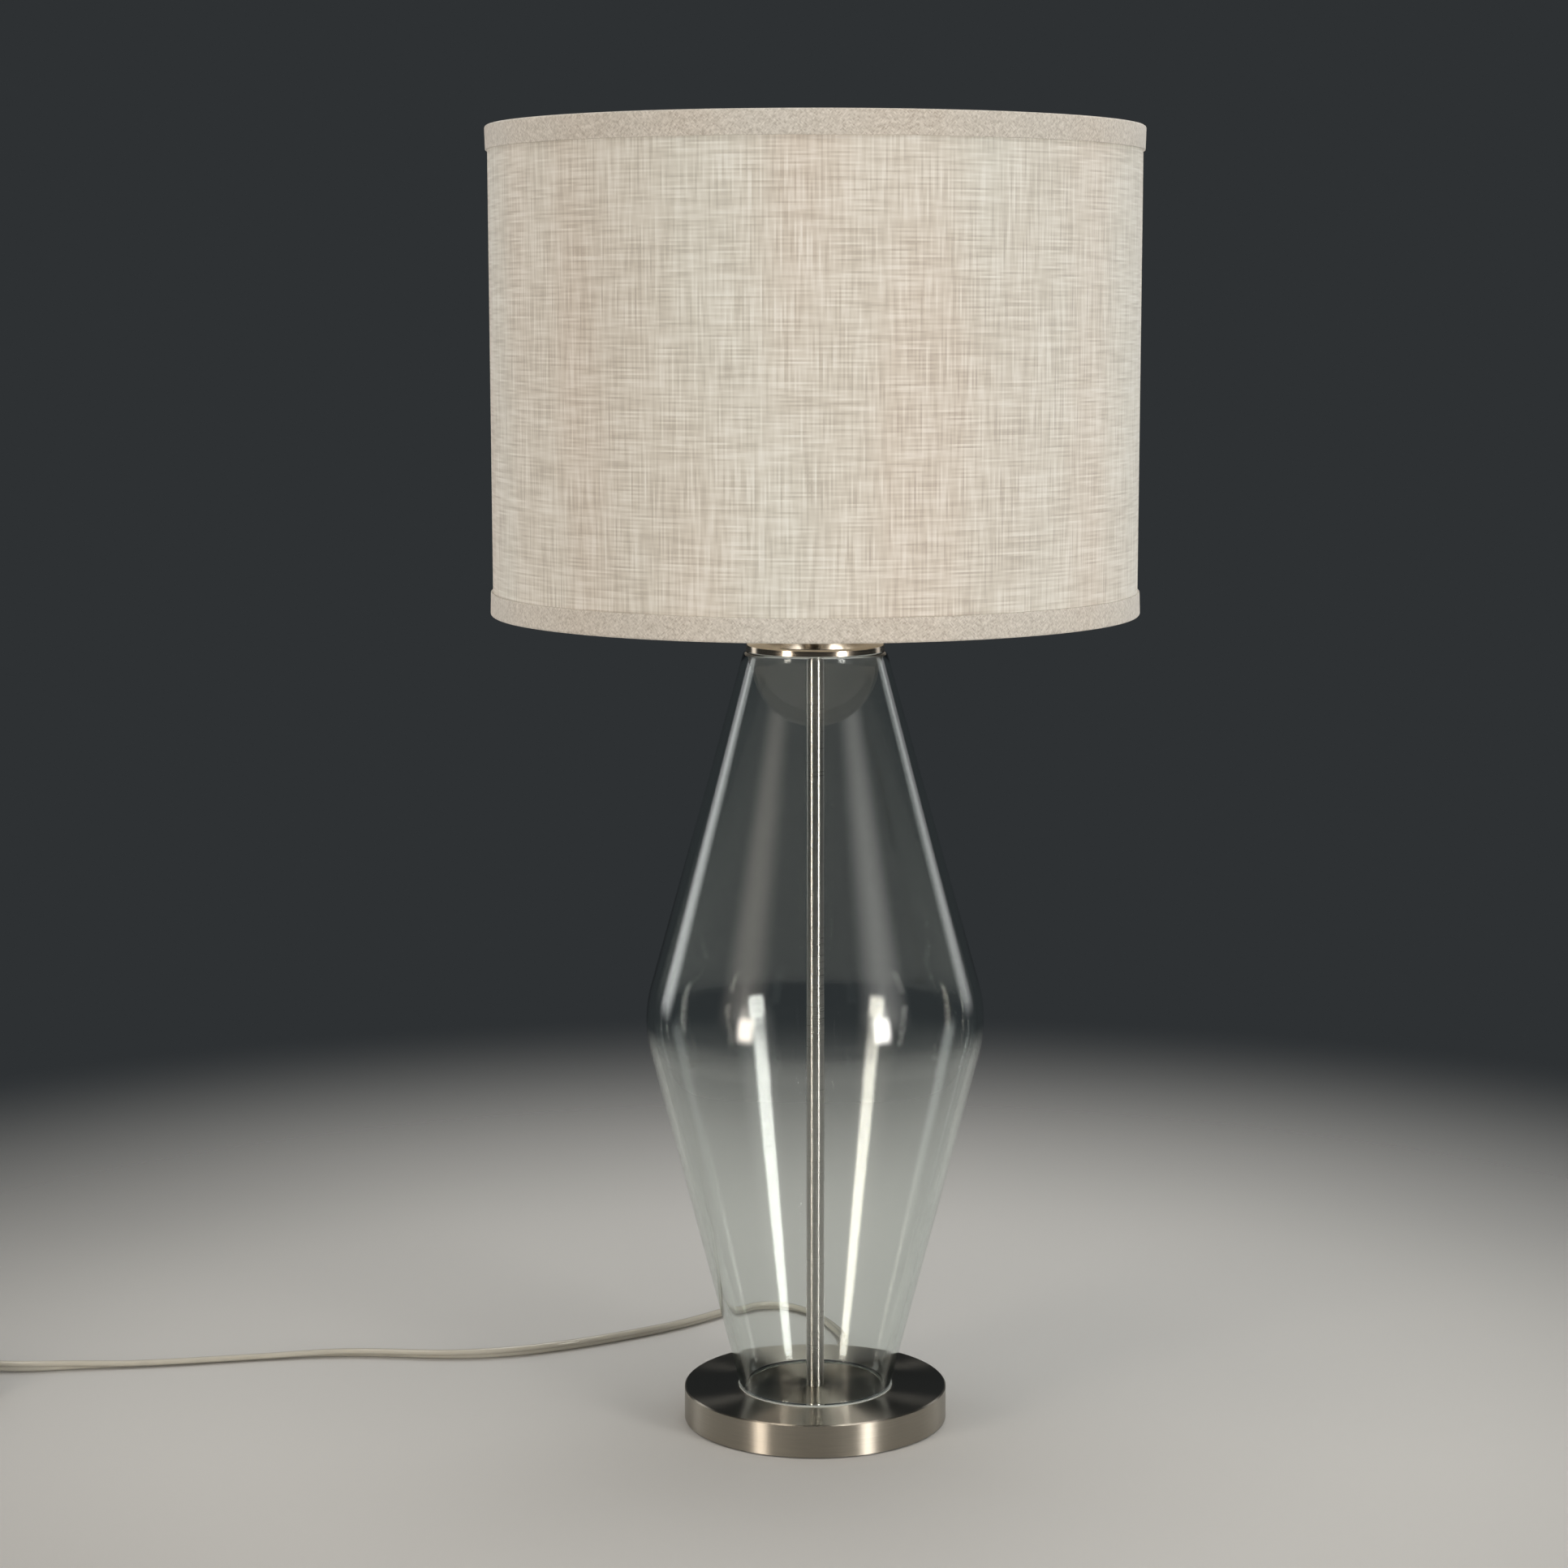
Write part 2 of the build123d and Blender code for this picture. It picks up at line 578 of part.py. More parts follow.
def bulb_outline(inset):
    """The globe's outline as a face, from the cap to the crown, less an inset."""
    neck_z = BULB_TIP_Z + 24.2
    centre_z = BULB_TIP_Z + BULB_LENGTH - BULB_RADIUS
    radius = BULB_RADIUS - inset
    lean = BULB_SHOULDER
    shoulder = (radius * math.cos(lean), centre_z + radius * math.sin(lean))
    neck = (THREAD_RADIUS - 1.5 - inset, neck_z)
    collar = (THREAD_RADIUS + 0.4 - inset, neck_z + 5.2)
    edges = [
        Line((0, neck_z), neck),
        Line(neck, collar),
        TangentArc(shoulder, collar, tangent=(math.sin(lean), -math.cos(lean))),
        CenterArc((0, centre_z), radius, math.degrees(lean), 90 - math.degrees(lean)),
        Line((0, centre_z + radius), (0, neck_z)),
    ]
    return make_face(edges)


def bulb_globe():
    """A frosted glass globe, hollow, closed at the neck."""
    hollow = turned(bulb_outline(BULB_SKIN)) - disc(40, BULB_TIP_Z, BULB_TIP_Z + 25.2)
    return turned(bulb_outline(0.0)) - hollow


# ---- shade ---------------------------------------------------------------------------
def shade_linen():
    edge = TRIM_FOLD + 0.05
    return ring(LINEN_RADIUS, LINEN_RADIUS - LINEN_THICKNESS, SHADE_BOTTOM + edge, SHADE_TOP - edge)


def shade_liner():
    """The clear plastic backing that the linen is laminated to."""
    outer = LINEN_RADIUS - LINEN_THICKNESS - 0.05
    edge = TRIM_FOLD + 0.05
    return ring(outer, outer - LINER_THICKNESS, SHADE_BOTTOM + edge, SHADE_TOP - edge)


def trim(edge_z, inward):
    """Folded tape over the shade's edge: inward is +1 at the bottom and -1 at the top."""
    outer_face = LINEN_RADIUS + 0.05
    inner_face = RING_RADIUS - RING_WIRE - 0.05
    section = polygon(
        (TRIM_RADIUS, edge_z), (TRIM_RADIUS, edge_z + inward * TRIM_HEIGHT),
        (outer_face, edge_z + inward * TRIM_HEIGHT), (outer_face, edge_z + inward * TRIM_FOLD),
        (inner_face, edge_z + inward * TRIM_FOLD), (inner_face, edge_z + inward * TRIM_INSIDE),
        (inner_face - 0.8, edge_z + inward * TRIM_INSIDE), (inner_face - 0.8, edge_z))
    return turned(rounded(section, [
        (TRIM_RADIUS, edge_z, 1.3), (inner_face - 0.8, edge_z, 1.3),
        (TRIM_RADIUS, edge_z + inward * TRIM_HEIGHT, 0.8),
    ]))


def ring_height(edge_z, inward):
    """The height of a wire ring inside its trim."""
    return edge_z + inward * (TRIM_FOLD + RING_WIRE + 0.05)


def shade_top_ring():
    return Pos(0, 0, ring_height(SHADE_TOP, -1)) * Torus(RING_RADIUS, RING_WIRE)


def shade_bottom_ring():
    return Pos(0, 0, ring_height(SHADE_BOTTOM, 1)) * Torus(RING_RADIUS, RING_WIRE)


def hub_base():
    """The height of the fitter's washer, just clear of the harp's seat."""
    return CAP_TOP_Z + HARP_HEIGHT + 1.6 + 0.1


def spider_hub():
    return ring(HUB_RADIUS, HUB_BORE, hub_base(), hub_base() + HUB_THICKNESS)


def spider_arms(radius):
    """Three wires from the top ring down to the washer, drawn with a wire radius."""
    weld = hub_base() + HUB_THICKNESS + ARM_WIRE - 0.25
    outer = ring_height(SHADE_TOP, -1)
    points = [(8.8, 0, weld), (26, 0, weld), (RING_RADIUS - RING_WIRE + 0.3, 0, outer)]
    arm = wire(points, [12], radius)
    return Compound(children=[Part() + Rot(0, 0, angle) * arm for angle in ARM_ANGLES])


def shade_top_trim():
    tape = trim(SHADE_TOP, -1)
    for arm in spider_arms(ARM_WIRE + 0.3).solids():
        tape -= arm
    return tape


def finial():
    """A turned knob: a flared base, a waist and a ball, with a blind threaded bore."""
    z = hub_base() + HUB_THICKNESS + 0.1
    ball_z = z + FINIAL_HEIGHT - FINIAL_BALL_RADIUS
    below = math.degrees(math.acos(FINIAL_NECK_RADIUS / FINIAL_BALL_RADIUS))
    ball = CenterArc((0, ball_z), FINIAL_BALL_RADIUS, -below, 90 + below)
    profile = [
        Line((0, z), (FINIAL_BASE_RADIUS, z)),
        Line((FINIAL_BASE_RADIUS, z), (FINIAL_BASE_RADIUS, z + 2.0)),
        ThreePointArc((FINIAL_BASE_RADIUS, z + 2.0), (5.3, z + 3.4), (FINIAL_WAIST_RADIUS, z + 6.4)),
        Line((FINIAL_WAIST_RADIUS, z + 6.4), ball @ 0),
        ball,
        Line(ball @ 1, (0, z)),
    ]
    bore = disc(STUD_RADIUS + 0.08, z - 1, CAP_TOP_Z + HARP_HEIGHT + 14)
    return turned(make_face(profile)) - bore


# ---- cord, bushing and plug ----------------------------------------------------------
def cord_bushing():
    """A moulded bushing: a barrel in the base, a flange and a tapered strain relief."""
    body = polygon(
        (BUSHING_INNER, 0), (BUSHING_INNER, 5.3), (BUSHING_FLANGE, 5.3), (BUSHING_FLANGE, 6.2),
        (BUSHING_FLANGE + 1.6, 6.2), (BUSHING_FLANGE + 1.6, 5.2), (BUSHING_TIP, 4.4), (BUSHING_TIP, 0))
    body = revolve(Plane.XZ * body, Axis.X, 360)
    slot = extrude(flat_section(CORD_WIDTH + 0.2, CORD_THICKNESS + 0.2), BUSHING_TIP)
    slot = Pos(BUSHING_INNER - 1, 0, 0) * Rot(0, 90, 0) * Rot(0, 0, 90) * slot
    return at_exit(Pos(0, 0, EXIT_Z) * (body - slot))


def cord_inside():
    """The flat cord inside the lamp: from the bushing's tip in, and up the tube."""
    path = FilletPolyline((BUSHING_TIP, 0, EXIT_Z), (0, 0, EXIT_Z), (0, 0, TUBE_TOP), radius=BEND_RADIUS)
    start = Plane(origin=path @ 0, x_dir=(0, 1, 0), z_dir=path % 0)
    return at_exit(sweep(start * flat_section(CORD_WIDTH, CORD_THICKNESS), path=path))


def exit_point(distance):
    """A point on the bushing's axis, at a distance from the lamp's axis."""
    angle = math.radians(90 - EXIT_TURN)
    return (distance * math.cos(angle), distance * math.sin(angle), EXIT_Z)


def cord_free():
    start = [exit_point(BUSHING_TIP), exit_point(BUSHING_TIP + FIRST_RUN)]
    return cord_along("cord_free", start + CORD_ROUTE)


def half_turn(start, radius, side):
    """Half a turn from a point on the coil's middle line; side is -1 for the far side in X."""
    mid = start + Vector(side * radius, side * radius, 0)
    end = start + Vector(0, side * 2 * radius, 0)
    return ThreePointArc(start, mid, end), end


def coil_edges():
    """The coil's edges in order: inwards on the table, a climb, and outwards on top."""
    entry = Vector(*CORD_ROUTE[-1])
    point = Vector(COIL_CENTRE_X, entry.Y, entry.Z)
    edges = [Line(entry, point)]
    side = -1
    for turn in reversed(range(LOWER_HALF_TURNS)):
        arc, point = half_turn(point, COIL_INNER_ARC + turn * COIL_STEP, side)
        edges.append(arc)
        side = -side
    rise = Vector(0, side * 2 * COIL_CLIMB_ARC, COIL_LAYER)
    middle = point + rise * 0.5 + Vector(side * rise.length / 2, 0, 0)
    edges.append(TangentArc(point, middle, tangent=(side, 0, 0)))
    edges.append(TangentArc(middle, point + rise, tangent=rise))
    point = point + rise
    side = -side
    for turn in range(UPPER_HALF_TURNS):
        arc, point = half_turn(point, COIL_INNER_ARC + turn * COIL_STEP, side)
        edges.append(arc)
        side = -side
    radius = COIL_INNER_ARC + UPPER_HALF_TURNS * COIL_STEP
    last = point + Vector(-radius, -radius, 0)
    edges.append(TangentArc(point, last, tangent=(-1, 0, 0)))
    edges.append(Line(last, last + Vector(0, -CORD_WIDTH, 0)))
    return edges


def coil_end():
    return coil_edges()[-1] @ 1


def cord_coil():
    """The spare cord, wound in two layers."""
    path = Wire(coil_edges())
    print("cord_coil least gap to itself", round(least_gap(path), 2))
    return round_cord("cord_coil", path)


def least_gap(path):
    """The least clear space between parts of a cord that are half a turn or more apart."""
    count = int(path.length / 3)
    points = [path @ (i / count) for i in range(count + 1)]
    apart = int(COIL_INNER_ARC * math.pi / 3)
    least = min((points[i] - points[j]).length for i in range(count + 1) for j in range(i + apart, count + 1))
    return least - CORD_WIDTH


def coil_tie():
    """A flat band round the coil's bundle on its left side, with a twisted end on top."""
    turns = [edge @ 0.5 for edge in coil_edges() if (edge @ 0.5).X < COIL_CENTRE_X - COIL_INNER_ARC]
    y = sum(p.Y for p in turns) / len(turns)
    inner = COIL_CENTRE_X - COIL_CLIMB_ARC + CORD_RADIUS + 0.6
    outer = min(p.X for p in turns) - CORD_RADIUS - 0.5
    low = TIE_THICKNESS / 2 + 0.02
    high = CORD_ROUTE[-1][2] + COIL_LAYER + CORD_RADIUS + 0.2 + TIE_THICKNESS / 2
    width, height = inner - outer, high - low
    loop = RectangleRounded(width + TIE_THICKNESS, height + TIE_THICKNESS, TIE_CORNER)
    loop -= RectangleRounded(width - TIE_THICKNESS, height - TIE_THICKNESS, TIE_CORNER - TIE_THICKNESS)
    middle = (inner + outer) / 2
    band = Pos(middle, y, (low + high) / 2) * Rot(90, 0, 0) * extrude(loop, TIE_WIDTH / 2, both=True)
    twist = wire([(middle, y, high), (middle, y, high + 3.0), (middle + 9, y + 2, high + 6.0)], [1.5], 1.1)
    return band + twist


def plug_place():
    """The middle of the plug's cord end."""
    return coil_end() + Vector(*TAIL_ROUTE[-1])


def cord_tail():
    start = coil_end()
    return cord_along("cord_tail", [tuple(start + Vector(*step)) for step in TAIL_ROUTE])


def at_plug(solid):
    """Moves what is drawn along -Y to where the plug lies on the table."""
    place = plug_place()
    return Pos(place.X, place.Y, PLUG_HEIGHT / 2) * solid


def plug_body():
    """A flat moulded plug that narrows towards the cord and has finger grips."""
    half = PLUG_WIDTH / 2
    throat_x, throat_y = PLUG_THROAT
    right = [(PLUG_NECK, 0), (throat_x, throat_y), (half, PLUG_SHOULDER), (half, -PLUG_LENGTH)]
    outline = polygon(*right, *[(-x, y) for x, y in reversed(right)])
    for side in (-1, 1):
        outline = rounded(outline, [(side * half, PLUG_SHOULDER, 4), (side * throat_x, throat_y, 4)])
    body = extrude(outline, PLUG_HEIGHT / 2, both=True)
    body = fillet(body.edges().group_by(Axis.Z)[0] + body.edges().group_by(Axis.Z)[-1], 1.6)
    for side in (-1, 1):
        for grip in range(PLUG_GRIPS):
            y = PLUG_SHOULDER - 2.5 - grip * PLUG_GRIP_PITCH
            body -= Pos(side * half, y, 0) * Cylinder(0.7, PLUG_HEIGHT + 2)
    return at_plug(body - blades(0.03))


def blades(gap=0.0):
    """The two flat blades, one wider than the other, in the plug's own place."""
    pair = Part()
    for side, height in zip((-1, 1), BLADE_HEIGHTS):
        blade = Box(BLADE_THICKNESS + 2 * gap, BLADE_LENGTH + BLADE_ROOT, height + 2 * gap)
        blade = chamfer(blade.edges().filter_by(Axis.X).group_by(Axis.Y)[0], 1.4)
        blade -= Pos(0, -BLADE_LENGTH / 2, 0) * Rot(0, 90, 0) * Cylinder(1.55, 4)
        middle = (BLADE_ROOT - BLADE_LENGTH) / 2 - PLUG_LENGTH
        pair += Pos(side * BLADE_SPACING / 2, middle, 0) * blade
    return pair


def plug_blades():
    return at_plug(blades())


# ---- all parts -----------------------------------------------------------------------
PARTS = {
    "base_pad": base_pad, "base_cover": base_cover, "base_weight": base_weight,
    "base_washer": base_washer, "base_lock_washer": base_lock_washer, "base_nut": base_nut,
    "lamp_tube": lamp_tube, "glass_lower_gasket": glass_lower_gasket, "glass_body": glass_body,
    "glass_upper_gasket": glass_upper_gasket, "vase_cap": vase_cap, "harp_saddle": harp_saddle,
    "tube_ring_nut": tube_ring_nut, "harp_frame": harp_frame, "harp_stud": harp_stud,
    "harp_sleeve_left": lambda: harp_sleeve(-1), "harp_sleeve_right": lambda: harp_sleeve(1),
    "holder_cap": holder_cap, "holder_set_screw": holder_set_screw, "holder_shell": holder_shell,
    "holder_liner": holder_liner, "switch_body": switch_body,
    "terminal_screws": lambda: Compound(children=[Part() + terminal_screw(s) for s in (-1, 1)]),
    "screw_shell": screw_shell, "centre_contact": centre_contact, "key_stem": key_stem,
    "key_knob": key_knob, "supply_wires": supply_wires, "bulb_contact": bulb_contact,
    "bulb_insulator": bulb_insulator, "bulb_cap": bulb_cap, "bulb_globe": bulb_globe,
    "shade_linen": shade_linen, "shade_liner": shade_liner, "shade_top_trim": shade_top_trim,
    "shade_bottom_trim": lambda: trim(SHADE_BOTTOM, 1), "shade_top_ring": shade_top_ring,
    "shade_bottom_ring": shade_bottom_ring, "spider_hub": spider_hub,
    "spider_arms": lambda: spider_arms(ARM_WIRE), "finial": finial, "cord_bushing": cord_bushing,
    "cord_inside": cord_inside, "cord_free": cord_free, "cord_coil": cord_coil,
    "coil_tie": coil_tie, "cord_tail": cord_tail, "plug_body": plug_body, "plug_blades": plug_blades,
}

os.makedirs("parts", exist_ok=True)
for name, make in PARTS.items():
    export_step(make(), f"parts/{name}.step")
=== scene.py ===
"""Looks of a table lamp: a clear glass double cone under a linen drum shade.

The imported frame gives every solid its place. The classes here dress those solids, and build the
pieces whose look needs more than a solid: the glass, the shade's cloth and the flat twin cord.
"""
import logging
import math
from collections.abc import Iterable
from dataclasses import dataclass
from enum import Enum

import bmesh
import bpy
from mathutils import Matrix, Vector, noise


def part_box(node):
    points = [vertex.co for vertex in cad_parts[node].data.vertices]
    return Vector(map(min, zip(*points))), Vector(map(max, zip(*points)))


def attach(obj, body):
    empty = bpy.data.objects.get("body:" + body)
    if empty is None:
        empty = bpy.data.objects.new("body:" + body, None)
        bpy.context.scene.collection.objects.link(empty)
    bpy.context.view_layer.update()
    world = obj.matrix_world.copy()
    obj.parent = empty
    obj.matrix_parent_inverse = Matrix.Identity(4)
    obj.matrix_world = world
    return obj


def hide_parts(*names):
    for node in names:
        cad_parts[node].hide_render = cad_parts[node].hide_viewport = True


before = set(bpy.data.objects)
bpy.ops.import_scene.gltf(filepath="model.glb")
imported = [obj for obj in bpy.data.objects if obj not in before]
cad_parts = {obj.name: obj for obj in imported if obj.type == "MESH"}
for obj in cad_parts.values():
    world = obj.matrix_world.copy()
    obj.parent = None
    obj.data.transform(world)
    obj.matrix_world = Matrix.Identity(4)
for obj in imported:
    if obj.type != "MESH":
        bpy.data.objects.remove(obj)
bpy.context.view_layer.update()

LOG = logging.getLogger("lamp")
MM = 0.001
FULL_TURN = 2 * math.pi


# ---- colours and nodes -----------------------------------------------------------------
def linear(code: str) -> tuple[float, float, float, float]:
    """Turns an sRGB hex colour into linear light.

    Args:
        code: the colour as "#RRGGBB".
    Returns:
        Red, green, blue and an alpha of 1.
    """
    parts = [int(code[i:i + 2], 16) / 255 for i in (1, 3, 5)]
    light = [p / 12.92 if p <= 0.04045 else ((p + 0.055) / 1.055) ** 2.4 for p in parts]
    return (*light, 1.0)


def add(tree: bpy.types.NodeTree, kind: str, inputs: dict | None = None, **settings) -> bpy.types.Node:
    """Adds a shader node with its settings and links.

    Args:
        tree: the node tree that gets it.
        kind: the node's type, without its ShaderNode prefix.
        inputs: from a socket's name or index to a value, or to the socket that feeds it.
        settings: the node's own properties.
    Returns:
        The new node.
    """
    made = tree.nodes.new("ShaderNode" + kind)
    for name, value in settings.items():
        setattr(made, name, value)
    for name, value in (inputs or {}).items():
        socket = made.inputs[name]
        if isinstance(value, bpy.types.NodeSocket):
            tree.links.new(value, socket)
        else:
            socket.default_value = value
    return made


class Lay(Enum):
    """Which way a metal's brushing runs."""

    ROUND = "round the lamp's axis"
    LENGTHWISE = "along the lamp's axis"


# ---- finishes --------------------------------------------------------------------------
@dataclass(frozen=True)
class Finish:
    """A surface: what it is made of and how it was made."""

    name: str
    colour: str
    roughness: float

    def material(self) -> bpy.types.Material:
        """Returns the finish's material, made once."""
        made = bpy.data.materials.get(self.name)
        if made is None:
            made = bpy.data.materials.new(self.name)
            made.use_nodes = True
            made.diffuse_color = linear(self.colour)
            tree = made.node_tree
            tree.nodes.clear()
            shader = add(tree, "BsdfPrincipled", {
                "Base Color": linear(self.colour), "Roughness": self.roughness})
            out = add(tree, "OutputMaterial", {"Surface": shader.outputs[0]})
            self.detail(tree, shader, out)
        return made

    def detail(self, tree: bpy.types.NodeTree, shader: bpy.types.Node, out: bpy.types.Node) -> None:
        """Adds the finish's own pattern to its shader.

        Args:
            tree: the material's nodes.
            shader: its Principled shader.
            out: its output.
        """


@dataclass(frozen=True)
class Grained(Finish):
    """A plain material with a fine grain, such as a casting, a moulding, paint or plating."""

    second: str = "#808080"     # the colour that the grain drifts to
    grain_mm: float = 1.0
    depth_mm: float = 0.01
    drift: float = 0.15         # how much the roughness drifts
    metal: float = 0.0
    coat: float = 0.0
    clear: float = 0.0
    ior: float = 1.5

    def detail(self, tree, shader, out) -> None:
        """Adds grain to the colour, the roughness and the surface."""
        place = add(tree, "TexCoord").outputs["Object"]
        grain = add(tree, "TexNoise", {
            "Vector": place, "Scale": 1000 / self.grain_mm, "Detail": 4.0}).outputs[0]
        patches = add(tree, "TexNoise", {
            "Vector": place, "Scale": 60 / self.grain_mm ** 0.5, "Detail": 3.0}).outputs[0]
        mixed = add(tree, "Mix", {
            0: patches, 6: linear(self.colour), 7: linear(self.second)}, data_type="RGBA")
        tree.links.new(mixed.outputs[2], shader.inputs["Base Color"])
        rough = add(tree, "MapRange", {
            0: patches, 1: 0.3, 2: 0.7, 3: self.roughness * (1 - self.drift),
            4: self.roughness * (1 + self.drift)})
        tree.links.new(rough.outputs[0], shader.inputs["Roughness"])
        bump = add(tree, "Bump", {
            "Height": grain, "Distance": self.depth_mm * MM, "Strength": 1.0})
        tree.links.new(bump.outputs[0], shader.inputs["Normal"])
        shader.inputs["Metallic"].default_value = self.metal
        shader.inputs["Coat Weight"].default_value = self.coat
        shader.inputs["Transmission Weight"].default_value = self.clear
        shader.inputs["IOR"].default_value = self.ior


@dataclass(frozen=True)
class Brushed(Finish):
    """A metal with fine parallel scratches, which stretch a highlight across them."""

    lay: Lay = Lay.ROUND
    scratch_mm: float = 0.5
    depth_mm: float = 0.002
    stretch: float = 0.8
    wipe: float = 0.06          # how much handling marks change the roughness

    def detail(self, tree, shader, out) -> None:
        """Adds scratches round or along the axis, and faint handling marks."""
        place = add(tree, "TexCoord").outputs["Object"]
        axes = add(tree, "SeparateXYZ", {0: place})
        flat = add(tree, "CombineXYZ", {0: axes.outputs[0], 1: axes.outputs[1]})
        radius = add(tree, "VectorMath", {0: flat.outputs[0]}, operation="LENGTH").outputs["Value"]
        if self.lay is Lay.ROUND:
            across, along = (radius, axes.outputs[2]), 1 / (26 * MM)
        else:
            across, along = (axes.outputs[0], axes.outputs[1]), 1 / (70 * MM)
        fine = 1000 / self.scratch_mm
        first = add(tree, "Math", {0: across[0], 1: fine}, operation="MULTIPLY").outputs[0]
        other = add(tree, "Math", {0: across[1], 1: fine}, operation="MULTIPLY").outputs[0]
        slow = add(tree, "VectorMath", {0: place, "Scale": along}, operation="SCALE").outputs[0]
        slow_axes = add(tree, "SeparateXYZ", {0: slow})
        length = slow_axes.outputs[0] if self.lay is Lay.ROUND else slow_axes.outputs[2]
        lines = add(tree, "CombineXYZ", {0: first, 1: other, 2: length})
        turn = slow_axes.outputs[1] if self.lay is Lay.ROUND else 0.0
        scratches = add(tree, "TexNoise", {
            "Vector": lines.outputs[0], "W": turn, "Scale": 1.0, "Detail": 3.0, "Roughness": 0.6},
            noise_dimensions="4D").outputs[0]
        marks = add(tree, "TexNoise", {"Vector": place, "Scale": 28.0, "Detail": 4.0}).outputs[0]
        sum_up = add(tree, "Mix", {0: 0.35, 2: scratches, 3: marks}, data_type="FLOAT").outputs[0]
        rough = add(tree, "MapRange", {
            0: sum_up, 1: 0.3, 2: 0.7, 3: self.roughness - self.wipe, 4: self.roughness + self.wipe})
        tree.links.new(rough.outputs[0], shader.inputs["Roughness"])
        tone = add(tree, "MapRange", {0: scratches, 1: 0.25, 2: 0.75, 3: 0.90, 4: 1.06})
        tinted = add(tree, "VectorMath", {
            0: linear(self.colour)[:3], "Scale": tone.outputs[0]}, operation="SCALE")
        tree.links.new(tinted.outputs[0], shader.inputs["Base Color"])
        bump = add(tree, "Bump", {
            "Height": scratches, "Distance": self.depth_mm * MM, "Strength": 1.0})
        tree.links.new(bump.outputs[0], shader.inputs["Normal"])
        shader.inputs["Metallic"].default_value = 1.0
        if self.stretch:
            shader.inputs["Anisotropic"].default_value = self.stretch
            shader.inputs["Anisotropic Rotation"].default_value = 0.25
            around = add(tree, "Tangent", direction_type="RADIAL", axis="Z")
            tree.links.new(around.outputs[0], shader.inputs["Tangent"])


@dataclass(frozen=True)
class Glass(Finish):
    """Clear soda-lime glass or vinyl, whose tint comes from the thickness that light crosses."""

    ior: float = 1.5
    depth: float = 1.0          # how fast the tint deepens, per metre
    tint: str = "#FFFFFF"

    def detail(self, tree, shader, out) -> None:
        """Lets light through, and tints it inside."""
        shader.inputs["Transmission Weight"].default_value = 1.0
        shader.inputs["IOR"].default_value = self.ior
        inside = add(tree, "VolumeAbsorption", {"Color": linear(self.tint), "Density": self.depth})
        tree.links.new(inside.outputs[0], out.inputs["Volume"])


